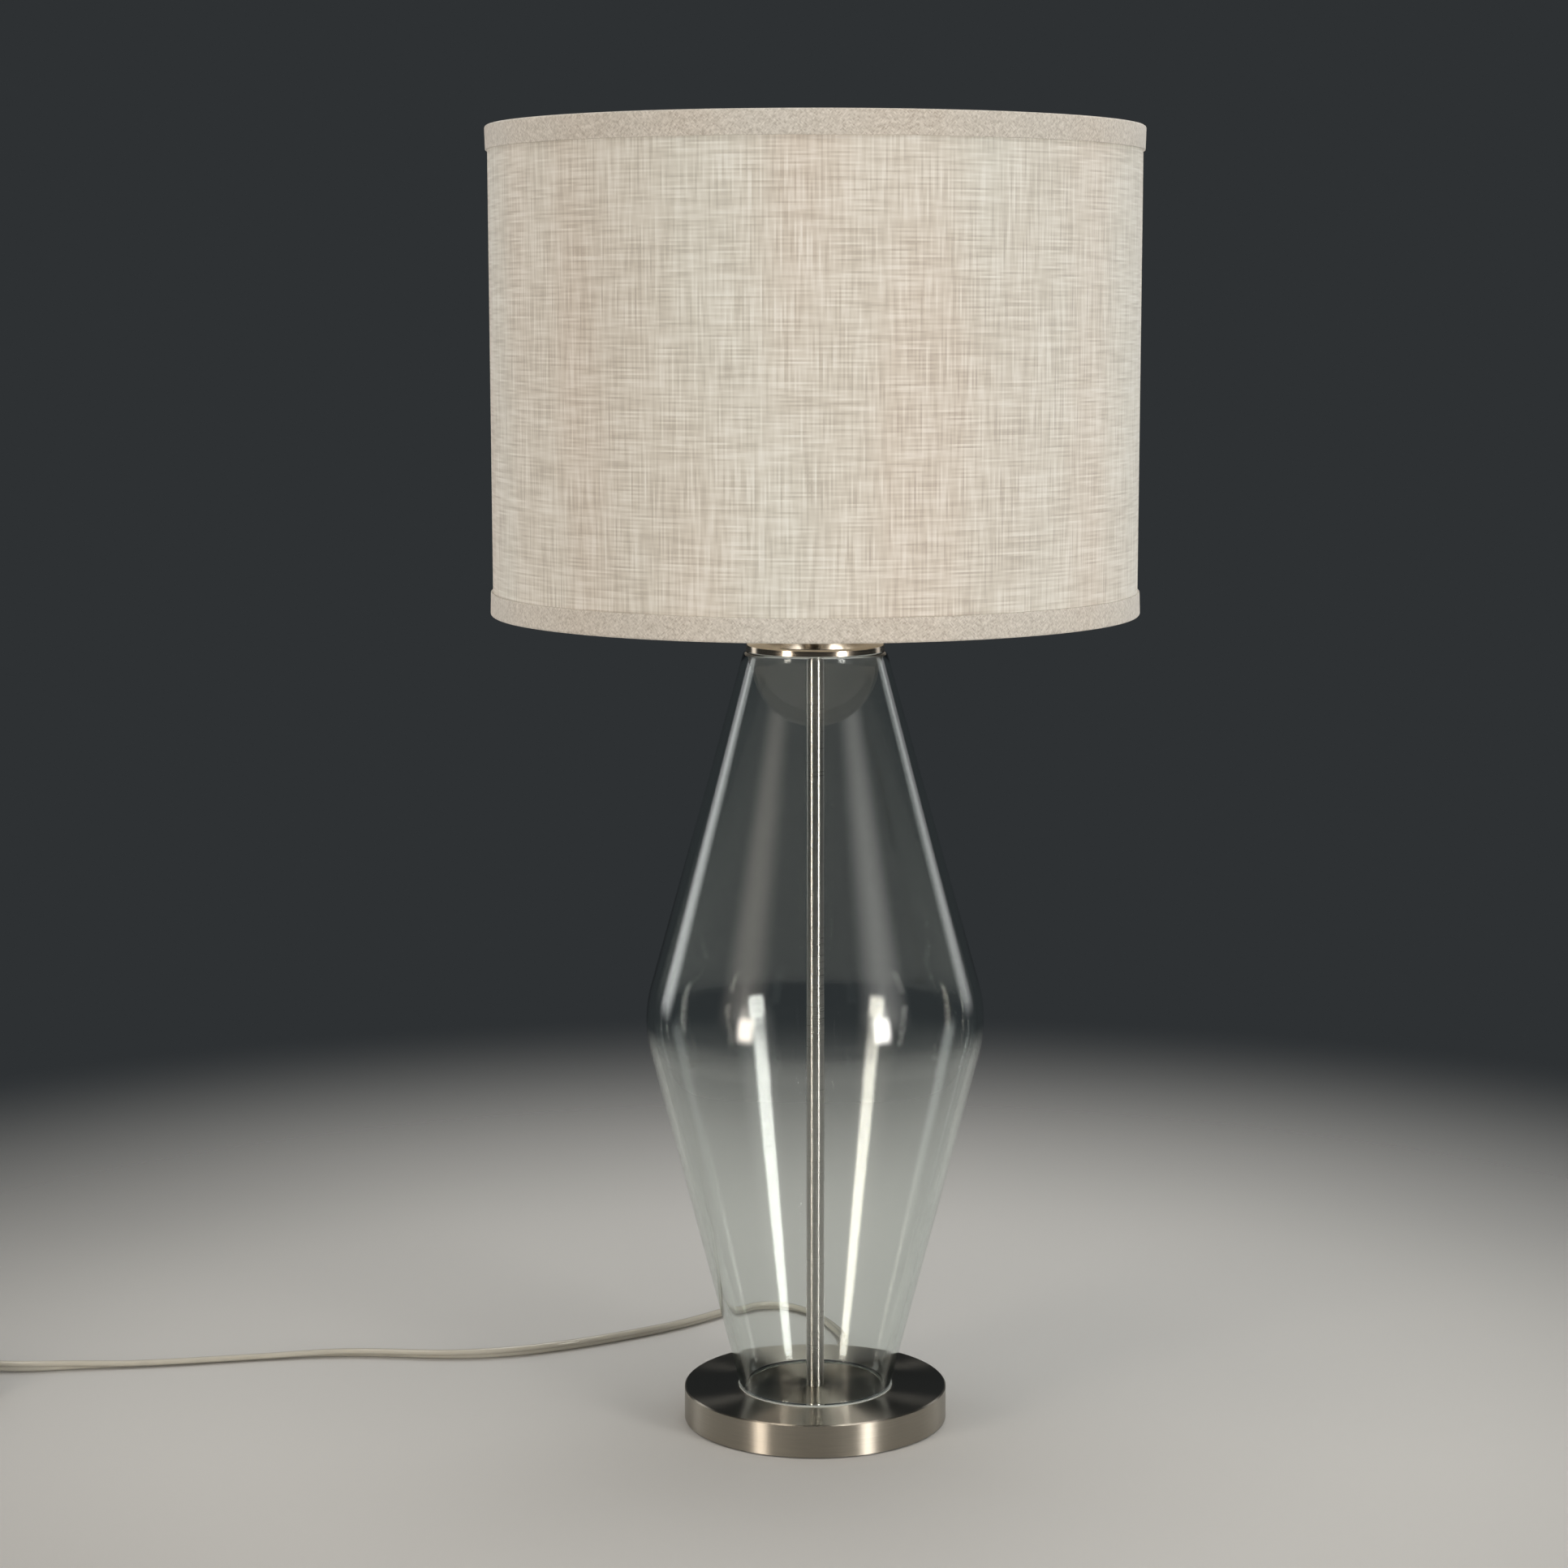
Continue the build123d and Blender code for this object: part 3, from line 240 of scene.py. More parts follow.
@dataclass(frozen=True)
class Linen(Finish):
    """A natural linen weave: slubby warp and weft threads, warm on one side and grey on another."""

    light: str = "#E7E4DB"
    dark: str = "#AEA699"
    warm: str = "#CFBCAB"
    cool: str = "#D0D0C5"
    thread_mm: float = 1.0      # real threads are 0.8 mm apart, too fine to show in the render
    slub_mm: float = 30.0       # how long a thick stretch of thread is
    relief_mm: float = 0.08
    turn_deg: float = 0.0       # how the weave lies on the piece
    zones: float = 22.0         # patches a metre where warp or weft stands out
    drift: float = 0.30         # how strongly the warm and cool patches show

    def threads(self, tree: bpy.types.NodeTree, place: bpy.types.NodeSocket,
                across: int) -> bpy.types.NodeSocket:
        """Straight threads side by side, each with its own thick and thin stretches.

        Args:
            tree: the material's nodes.
            place: the cloth's own coordinates, in metres.
            across: 0 for warp threads, side by side round the shade, or 1 for weft threads.
        Returns:
            A value from 0 to 1 that follows the threads.
        """
        axes = add(tree, "SeparateXYZ", {0: place})
        thread = add(tree, "Math", {0: axes.outputs[across], 1: self.thread_mm * MM}, operation="SNAP")
        number = add(tree, "Math", {0: thread.outputs[0], 1: 7310.0 + 900 * across}, operation="MULTIPLY")
        along = add(tree, "Math", {0: axes.outputs[1 - across], 1: 1000 / self.slub_mm},
                    operation="MULTIPLY")
        spot = add(tree, "CombineXYZ", {0: number.outputs[0], 1: along.outputs[0]})
        return add(tree, "TexNoise", {
            "Vector": spot.outputs[0], "Scale": 1.0, "Detail": 1.0, "Roughness": 0.5},
            noise_dimensions="2D").outputs[0]

    def detail(self, tree, shader, out) -> None:
        """Weaves the threads into a colour and a relief."""
        flat = add(tree, "UVMap", uv_map="cloth").outputs[0]
        turned = add(tree, "Mapping", {"Vector": flat, "Rotation": (0, 0, math.radians(self.turn_deg))})
        place = turned.outputs[0]
        warp, weft = self.threads(tree, place, 0), self.threads(tree, place, 1)
        patches = add(tree, "TexNoise", {
            "Vector": place, "Scale": self.zones, "Detail": 2.0}).outputs[0]
        share = add(tree, "MapRange", {0: patches, 1: 0.35, 2: 0.65, 3: 0.57, 4: 0.41}).outputs[0]
        woven = add(tree, "Mix", {0: share, 2: warp, 3: weft}, data_type="FLOAT").outputs[0]
        ramp = add(tree, "ValToRGB", {0: woven})
        ramp.color_ramp.elements[0].position = 0.30
        ramp.color_ramp.elements[0].color = linear(self.dark)
        ramp.color_ramp.elements[1].position = 0.70
        ramp.color_ramp.elements[1].color = linear(self.light)
        ramp.color_ramp.elements.new(0.49).color = linear(self.colour)
        wide = add(tree, "Mapping", {"Vector": flat, "Scale": (11.0, 2.2, 1.0)})
        patch = add(tree, "TexNoise", {"Vector": wide.outputs[0], "Scale": 1.0, "Detail": 1.5}).outputs[0]
        lean = add(tree, "MapRange", {0: patch, 1: 0.38, 2: 0.62}).outputs[0]
        tone = add(tree, "Mix", {
            0: lean, 6: linear(self.warm), 7: linear(self.cool)}, data_type="RGBA").outputs[2]
        final = add(tree, "Mix", {0: self.drift, 6: ramp.outputs[0], 7: tone}, data_type="RGBA")
        tree.links.new(final.outputs[2], shader.inputs["Base Color"])
        bump = add(tree, "Bump", {
            "Height": woven, "Distance": self.relief_mm * MM, "Strength": 1.0})
        tree.links.new(bump.outputs[0], shader.inputs["Normal"])
        shader.inputs["Sheen Weight"].default_value = 0.25
        shader.inputs["Sheen Roughness"].default_value = 0.5


# Satin nickel plate over steel, brushed on a lathe, so highlights spread across the rings.
SATIN_NICKEL = Brushed("satin_nickel", "#BAB3A6", 0.33, scratch_mm=0.45, depth_mm=0.0007, stretch=1.0)
# The same plate on the small cap, spun and only lightly brushed: it mirrors the shade softly. Its colour is warmed
# to a light brown, a painted reflection of the lit linen inside the shade.
SPUN_NICKEL_PAINTED_REFLECTION = Brushed("spun_nickel_painted_reflection", "#D4C6B2", 0.20, scratch_mm=0.35, depth_mm=0.001, stretch=0.6)
# Nickel plated tube, belt polished round and round: lamps show in it as long thin lines.
BRIGHT_TUBE = Brushed("bright_tube", "#CFCCC7", 0.29, scratch_mm=0.4, depth_mm=0.00005,
                      stretch=0.97, wipe=0.03)
# Nickel plated drawn wire, with fine draw marks along it.
DRAWN_WIRE = Brushed("drawn_wire", "#BCB7AE", 0.26, lay=Lay.LENGTHWISE, scratch_mm=0.3,
                     depth_mm=0.001, stretch=0.0)
# Nickel plate on stamped strip and turned nuts, satin.
PLATED = Grained("plated_nickel", "#B0ABA2", 0.34, second="#BCB7AE", grain_mm=0.6,
                 depth_mm=0.002, metal=1.0)
# Grey cast iron, sand cast: coarse and dull.
CAST_IRON = Grained("cast_iron", "#4B4B4E", 0.72, second="#5E5D5C", grain_mm=2.2, depth_mm=0.25, metal=0.6)
# Zinc plated steel, bluish and slightly dull.
ZINC = Grained("zinc_steel", "#B4B8BE", 0.34, second="#A2A6AC", grain_mm=1.5, depth_mm=0.004, metal=1.0)
# Stamped brass, a little dull.
BRASS = Grained("stamped_brass", "#C9A45A", 0.30, second="#B58F48", grain_mm=1.0, depth_mm=0.003, metal=1.0)
# Drawn aluminium of a lampholder's screw shell and a bulb's cap.
ALUMINIUM = Grained("drawn_aluminium", "#C9CACC", 0.28, second="#B9BABD", grain_mm=0.8,
                    depth_mm=0.003, metal=1.0)
# Closed-cell foam, cut from sheet: matt, with open cells at the cut.
FOAM = Grained("black_foam", "#1E1E20", 0.95, second="#2A2A2C", grain_mm=0.9, depth_mm=0.25)
# Vulcanised fibre board of the lampholder's insulating sleeve.
FIBRE = Grained("fibre_board", "#8E7960", 0.80, second="#7C6850", grain_mm=1.2, depth_mm=0.04)
# Moulded phenolic, dark brown with a dull moulded skin.
PHENOLIC = Grained("phenolic", "#2E2521", 0.42, second="#3A2E28", grain_mm=0.8, depth_mm=0.01)
# Moulded black thermoplastic of the switch's knob, satin.
BLACK_PLASTIC = Grained("black_plastic", "#161617", 0.34, second="#1D1D1F", grain_mm=0.5, depth_mm=0.006)
# White enamel over steel wire, with small sags in the paint.
ENAMEL = Grained("white_enamel", "#DEDBD3", 0.35, second="#D3CFC6", grain_mm=3.0, depth_mm=0.02, coat=0.3)
# Opal styrene sheet that the linen is laminated to: white, and smooth inside the shade.
STYRENE = Grained("styrene", "#EBE6DB", 0.45, second="#E3DDD0", grain_mm=2.0, depth_mm=0.01)
# Frosted bulb glass: white with a soft sheen.
FROSTED = Grained("frosted_glass", "#F0EFEC", 0.42, second="#E7E6E2", grain_mm=0.4, depth_mm=0.004,
                  coat=0.25, clear=0.25)
# Black vitrified glass in the bulb's cap.
BLACK_GLASS = Grained("black_glass", "#0C0C0D", 0.12, second="#111112", grain_mm=1.0, depth_mm=0.002, coat=0.4)
# Soft solder on the bulb's tip.
SOLDER = Grained("solder", "#A9A9A6", 0.38, second="#95958F", grain_mm=1.2, depth_mm=0.05, metal=1.0)
# White plastic-covered wire tie.
TIE_PLASTIC = Grained("tie_plastic", "#E4E3DF", 0.50, second="#D9D8D2", grain_mm=0.7, depth_mm=0.02)
# Tinned copper strands, seen through the cord's jacket.
STRANDS = Grained("tinned_strands", "#BBB39C", 0.42, second="#8F8568", grain_mm=0.5, depth_mm=0.05, metal=0.5)
# Blown soda-lime glass: colourless across the wall, green where light runs along it.
BLOWN_GLASS = Glass("blown_glass", "#FFFFFF", 0.0, ior=1.5, depth=18.0, tint="#A6DCBE")
# Soft clear vinyl of the gaskets, faintly yellow.
VINYL = Glass("clear_vinyl", "#F7F5EE", 0.06, ior=1.53, depth=40.0, tint="#E2DCC0")
# The cord's own jacket: extruded, so a little cloudy, with a smooth skin.
JACKET = Grained("cord_jacket", "#F0ECDF", 0.12, second="#E6E1D1", grain_mm=2.5, depth_mm=0.006,
                 coat=0.3, clear=0.5, ior=1.53)
# Nickel plated brass of the plug's blades, bright.
BLADE_PLATE = Grained("blade_plate", "#CFCAC0", 0.16, second="#C3BDB1", grain_mm=1.5, depth_mm=0.002, metal=1.0)
# The shade's cloth and its edge tape.
LINEN = Linen("linen_weave", "#CEC8BB", 0.92)
TAPE = Linen("bias_tape", "#C3BCB0", 0.90, light="#DDD7CC", dark="#A1988B", warm="#C1B4A5",
             cool="#C2BFB6", thread_mm=0.62, slub_mm=2.6, turn_deg=42, zones=120.0, drift=0.3)


# ---- mesh tools ------------------------------------------------------------------------
def dress(node: str, finish: Finish) -> None:
    """Gives a solid of the frame its finish.

    Args:
        node: the solid's name.
        finish: what it is made of.
    """
    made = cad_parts[node]
    made.data.materials.clear()
    made.data.materials.append(finish.material())
    LOG.info("dressed %s in %s", node, finish.name)


def piece(name: str, mesh: bmesh.types.BMesh, body: str, finishes: Iterable[Finish],
          nodes: Iterable[str] = (), sharp_deg: float = 40.0) -> bpy.types.Object:
    """Makes an object of a finished mesh, at the origin.

    Args:
        name: the piece's name.
        mesh: its mesh, which is freed.
        body: the body that it rides on.
        finishes: the finish of each material index.
        nodes: the solids that it stands for.
        sharp_deg: an edge that turns by more than this stays sharp.
    Returns:
        The new object.
    """
    for face in mesh.faces:
        face.smooth = True
    for edge in mesh.edges:
        edge.smooth = len(edge.link_faces) != 2 or edge.calc_face_angle(0.0) < math.radians(sharp_deg)
    data = bpy.data.meshes.new(name)
    mesh.to_mesh(data)
    mesh.free()
    for finish in finishes:
        data.materials.append(finish.material())
    made = bpy.data.objects.new(name, data)
    bpy.context.scene.collection.objects.link(made)
    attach(made, body)
    if nodes:
        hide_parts(*nodes)
    LOG.info("made %s with %d faces", name, len(data.polygons))
    return made


@dataclass(frozen=True)
class Corner:
    """A corner of a turned profile, with a fillet."""

    radius: float
    height: float
    fillet: float = 0.0
    steps: int = 6


def outline(mesh: bmesh.types.BMesh, corners: list[Corner]) -> list[bmesh.types.BMVert]:
    """Draws a closed profile in the XZ plane, with an arc at each filleted corner.

    Args:
        mesh: the mesh that gets it.
        corners: its corners in order.
    Returns:
        The profile's vertices in order.
    """
    made: list[bmesh.types.BMVert] = []
    for index, corner in enumerate(corners):
        here = Vector((corner.radius, 0, corner.height))
        if not corner.fillet:
            made.append(mesh.verts.new(here))
            continue
        before, after = corners[index - 1], corners[(index + 1) % len(corners)]
        back = (Vector((before.radius, 0, before.height)) - here).normalized()
        ahead = (Vector((after.radius, 0, after.height)) - here).normalized()
        turn = math.pi - back.angle(ahead)
        start = here + back * corner.fillet * math.tan(turn / 2)
        centre = here + (back + ahead).normalized() * corner.fillet / math.cos(turn / 2)
        sign = 1 if back.cross(ahead).y > 0 else -1
        for step in range(corner.steps + 1):
            spun = Matrix.Rotation(-sign * turn * step / corner.steps, 3, "Y") @ (start - centre)
            made.append(mesh.verts.new(centre + spun))
    for first, second in zip(made, made[1:] + made[:1]):
        mesh.edges.new((first, second))
    return made


def cut_long_edges(mesh: bmesh.types.BMesh, longest: float) -> None:
    """Divides every edge that is longer than a limit.

    Args:
        mesh: the mesh whose edges are cut.
        longest: the limit in metres.
    """
    for edge in list(mesh.edges):
        cuts = int(edge.calc_length() / longest)
        if cuts:
            bmesh.ops.subdivide_edges(mesh, edges=[edge], cuts=cuts)


def turn_round(mesh: bmesh.types.BMesh, steps: int) -> None:
    """Spins everything in the mesh once about Z into a closed skin.

    Args:
        mesh: the mesh with a profile.
        steps: how many segments a full turn has.
    """
    bmesh.ops.spin(mesh, geom=mesh.verts[:] + mesh.edges[:], cent=(0, 0, 0), axis=(0, 0, 1),
                   angle=FULL_TURN, steps=steps, use_merge=True)
    bmesh.ops.remove_doubles(mesh, verts=mesh.verts[:], dist=1e-6)
    bmesh.ops.recalc_face_normals(mesh, faces=mesh.faces[:])


def sweep(mesh: bmesh.types.BMesh, edges: list[bmesh.types.BMEdge], frames: list[Matrix],
          distances: list[float]) -> list[bmesh.types.BMEdge]:
    """Extrudes a section from frame to frame, and writes a "cloth" UV map in metres.

    Args:
        mesh: the mesh that holds the section, drawn at the first frame.
        edges: the section's edges.
        frames: where the section stands at each step, the first one included.
        distances: how far along each frame is, which becomes U; V is the "across" layer.
    Returns:
        The last section's edges.
    """
    across = mesh.verts.layers.float["across"]
    cloth = mesh.loops.layers.uv["cloth"]
    for step in range(1, len(frames)):
        move = frames[step] @ frames[step - 1].inverted()
        grown = bmesh.ops.extrude_edge_only(mesh, edges=edges)["geom"]
        fresh = [g for g in grown if isinstance(g, bmesh.types.BMVert)]
        bmesh.ops.transform(mesh, matrix=move, verts=fresh)
        new = set(fresh)
        for face in grown:
            if isinstance(face, bmesh.types.BMFace):
                for loop in face.loops:
                    far = distances[step] if loop.vert in new else distances[step - 1]
                    loop[cloth].uv = (far, loop.vert[across])
        edges = [g for g in grown if isinstance(g, bmesh.types.BMEdge)
                 and g.verts[0] in new and g.verts[1] in new]
    return edges


def cloth_layers(mesh: bmesh.types.BMesh) -> None:
    """Gives an empty mesh the layers that sweep fills."""
    mesh.verts.layers.float.new("across")
    mesh.loops.layers.uv.new("cloth")


# ---- base ------------------------------------------------------------------------------
@dataclass
class Base:
    """The weighted disc that the lamp stands on, and what is bolted inside it."""

    def dress(self) -> None:
        """Dresses the disc's pieces."""
        dress("base_cover", SATIN_NICKEL)
        dress("base_weight", CAST_IRON)
        dress("base_pad", FOAM)
        for node in ("base_washer", "base_lock_washer", "base_nut"):
            dress(node, ZINC)


# ---- glass -----------------------------------------------------------------------------
@dataclass
class GlassVase:
    """The blown double cone, with its two gaskets, the tube through it and the cap on it."""

    wall: float = 4.0 * MM
    waist_height: float = 231.6 * MM
    waist_radius: float = 97.15 * MM    # where the cones would meet in a sharp edge
    waist_round: float = 73.0 * MM
    lower_slope: float = math.tan(math.radians(14.39))
    upper_slope: float = math.tan(math.radians(15.61))
    steps: int = 256
    row: float = 6.0 * MM               # the longest edge up the wall
    wave: float = 0.055 * MM            # how far blown glass strays from a true cone
    wave_size: float = 45.0 * MM

    def build(self) -> None:
        """Blows the double cone and dresses what touches it."""
        low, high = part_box("glass_body")
        foot = self.waist_radius - self.lower_slope * (self.waist_height - low.z)
        neck = self.waist_radius - self.upper_slope * (high.z - self.waist_height)
        inset = self.wall / math.cos(math.atan(self.lower_slope))
        mesh = bmesh.new()
        outline(mesh, [
            Corner(foot, low.z, 1.0 * MM, 4),
            Corner(self.waist_radius, self.waist_height, self.waist_round, 14),
            Corner(neck, high.z, 2.2 * MM, 6),
            Corner(neck - inset, high.z, 1.0 * MM, 4),
            Corner(self.waist_radius - inset, self.waist_height, self.waist_round - self.wall, 14),
            Corner(foot - inset, low.z, 1.0 * MM, 4),
        ])
        cut_long_edges(mesh, self.row)
        turn_round(mesh, self.steps)
        self.ripple(mesh, low.z, high.z)
        piece("glass_vase", mesh, "lamp", [BLOWN_GLASS], ["glass_body"], sharp_deg=60)
        for node in ("glass_lower_gasket", "glass_upper_gasket"):
            dress(node, VINYL)
        dress("lamp_tube", BRIGHT_TUBE)
        dress("vase_cap", SPUN_NICKEL_PAINTED_REFLECTION)

    def ripple(self, mesh: bmesh.types.BMesh, low: float, high: float) -> None:
        """Moves the wall's two faces in and out a little, each in its own way.

        Args:
            mesh: the turned glass.
            low: the height of its foot.
            high: the height of its neck.
        """
        for vert in mesh.verts:
            radius = math.hypot(vert.co.x, vert.co.y)
            slope = self.lower_slope if vert.co.z < self.waist_height else self.upper_slope
            cone = self.waist_radius - slope * abs(vert.co.z - self.waist_height)
            side = 5.0 if radius < cone - self.wall / 2 else 0.0
            ends = min(vert.co.z - low, high - vert.co.z) / (20 * MM)
            fade = max(0.0, min(1.0, ends))
            stray = noise.noise(vert.co / self.wave_size + Vector((side, side, 0)))
            scale = 1 + self.wave * fade * stray / radius
            vert.co.x *= scale
            vert.co.y *= scale


# ---- harp, lampholder and bulb -----------------------------------------------------------
@dataclass
class Harp:
    """The wire loop that carries the shade, from its saddle to the finial."""

    def dress(self) -> None:
        """Dresses the harp's pieces."""
        for node in ("harp_saddle", "tube_ring_nut", "harp_stud",
                     "harp_sleeve_left", "harp_sleeve_right"):
            dress(node, PLATED)
        dress("harp_frame", DRAWN_WIRE)
        dress("finial", SPUN_NICKEL_PAINTED_REFLECTION)


@dataclass
class Lampholder:
    """The turn-key lampholder, its switch and the wires that reach it."""

    def dress(self) -> None:
        """Dresses the lampholder's pieces."""
        for node in ("holder_cap", "holder_shell"):
            dress(node, PLATED)
        dress("holder_set_screw", ZINC)
        dress("holder_liner", FIBRE)
        dress("switch_body", PHENOLIC)
        for node in ("terminal_screws", "centre_contact", "key_stem"):
            dress(node, BRASS)
        dress("screw_shell", ALUMINIUM)
        dress("key_knob", BLACK_PLASTIC)
        dress("supply_wires", VINYL)


@dataclass
class Bulb:
    """The frosted bulb."""

    def dress(self) -> None:
        """Dresses the bulb's pieces."""
        dress("bulb_globe", FROSTED)
        dress("bulb_cap", ALUMINIUM)
        dress("bulb_insulator", BLACK_GLASS)
        dress("bulb_contact", SOLDER)


# ---- shade -----------------------------------------------------------------------------
@dataclass
class DrumShade:
    """The linen drum on its wire frame."""

    steps: int = 300
    rows: int = 20
    overlap_deg: float = 4.0            # the cloth laps over itself by 12 mm at the back
    step_up: float = 0.55 * MM
    seam_deg: float = 96.0              # where the lap starts, counted from +X
    trim_radius: float = 178.0 * MM
    trim_height: float = 12.8 * MM
    tape: float = 0.85 * MM             # the tape's own thickness, glue included
    fold: float = 1.4 * MM
    inner_leg: float = 7.5 * MM
    waver: float = 0.22 * MM            # how far the tape's cut edge strays

    def build(self) -> None:
        """Laminates the cloth, folds the tapes over its edges and dresses the wire."""
        cloth = self.linen()
        tapes = [self.trim("shade_trim_top", "shade_top_trim", -1),
                 self.trim("shade_trim_bottom", "shade_bottom_trim", 1)]
        dress("shade_liner", STYRENE)
        for node in ("shade_top_ring", "shade_bottom_ring", "spider_arms"):
            dress(node, ENAMEL)
        dress("spider_hub", PLATED)

    def round_frames(self, turn_deg: float, count: int) -> list[Matrix]:
        """Rotations about Z from the seam on, in equal steps."""
        return [Matrix.Rotation(math.radians(self.seam_deg + turn_deg * i / count), 4, "Z")
                for i in range(count + 1)]

    def linen(self) -> bpy.types.Object:
        """One sheet round the drum, whose end laps over its start at the back."""
        low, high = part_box("shade_linen")
        radius = high.x - 0.25 * MM
        mesh = bmesh.new()
        cloth_layers(mesh)
        across = mesh.verts.layers.float["across"]
        column = []
        for row in range(self.rows + 1):
            z = low.z + (high.z - low.z) * row / self.rows
            vert = mesh.verts.new((radius, 0, z))
            vert[across] = z - low.z
            column.append(vert)
        edges = [mesh.edges.new(pair) for pair in zip(column, column[1:])]
        frames = self.round_frames(360, self.steps)
        bmesh.ops.transform(mesh, matrix=frames[0], verts=column)
        arc = radius * math.radians(360) / self.steps
        last = sweep(mesh, edges, frames, [arc * i for i in range(self.steps + 1)])
        ends = {vert for edge in last for vert in edge.verts}
        outwards = Matrix.Scale(1 + self.step_up / radius, 4, (1, 0, 0))
        outwards = outwards @ Matrix.Scale(1 + self.step_up / radius, 4, (0, 1, 0))
        bmesh.ops.transform(mesh, matrix=outwards, verts=list(ends))
        lap = self.round_frames(self.overlap_deg, 4)
        start = arc * self.steps
        sweep(mesh, last, lap, [start + radius * math.radians(self.overlap_deg) * i / 4 for i in range(5)])
        made = piece("shade_cloth", mesh, "shade", [LINEN], ["shade_linen"], sharp_deg=80)
        solid = made.modifiers.new("thickness", "SOLIDIFY")
        solid.thickness = 0.5 * MM
        solid.offset = 0.0
        return made

    def trim(self, name: str, node: str, inward: int) -> bpy.types.Object:
        """Tape folded over one edge of the shade.

        Args:
            name: the new piece's name.
            node: the solid that it stands for.
            inward: +1 at the bottom edge, where the shade lies above, and -1 at the top.
        Returns:
            The new piece.
        """
        low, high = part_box(node)
        edge = low.z if inward > 0 else high.z
        cloth_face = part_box("shade_linen")[1].x + 0.05 * MM
        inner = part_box("shade_top_ring")[1].x - 3.4 * MM - 0.1 * MM
        mesh = bmesh.new()
        cloth_layers(mesh)
        across = mesh.verts.layers.float["across"]
        corners = [
            Corner(self.trim_radius, edge, 1.35 * MM, 6),
            Corner(self.trim_radius - 0.35 * MM, edge + inward * self.trim_height, 0.45 * MM, 3),
            Corner(cloth_face, edge + inward * self.trim_height),
            Corner(cloth_face, edge + inward * self.fold),
            Corner(inner, edge + inward * self.fold),
            Corner(inner, edge + inward * self.inner_leg),
            Corner(inner - self.tape, edge + inward * self.inner_leg, 0.4 * MM, 3),
            Corner(inner - self.tape, edge, 1.35 * MM, 6),
        ]
        outline(mesh, corners)
        cut_long_edges(mesh, 2.6 * MM)
        self.number_round(mesh, across)
        frames = self.round_frames(360, self.steps)
        bmesh.ops.transform(mesh, matrix=frames[0], verts=mesh.verts[:])
        arc = self.trim_radius * math.radians(360) / self.steps
        sweep(mesh, mesh.edges[:], frames, [arc * i for i in range(self.steps + 1)])
        bmesh.ops.remove_doubles(mesh, verts=mesh.verts[:], dist=1e-6)
        bmesh.ops.recalc_face_normals(mesh, faces=mesh.faces[:])
        for vert in mesh.verts:
            reach = abs(vert.co.z - edge) / self.trim_height
            if reach > 0.3:
                angle = math.atan2(vert.co.y, vert.co.x)
                here = Vector((4 * math.cos(angle), 4 * math.sin(angle), inward * 3.0))
                vert.co.z += self.waver * reach * noise.noise(here * 2.4)
        return piece(name, mesh, "shade", [TAPE], [node], sharp_deg=50)

    @staticmethod
    def number_round(mesh: bmesh.types.BMesh, across: bmesh.types.BMLayerItem) -> None:
        """Writes how far round the profile each vertex is into a layer.

        Args:
            mesh: the mesh with one closed profile.
            across: the layer.
        """
        start = min(mesh.verts, key=lambda v: (round(v.co.z, 6), round(v.co.x, 6)))
        here, before, run = start, None, 0.0
        while True:
            here[across] = run
            step = next(e for e in here.link_edges if e is not before)
            before, ahead = step, step.other_vert(here)
            run += step.calc_length()
            if ahead is start:
                return
            here = ahead


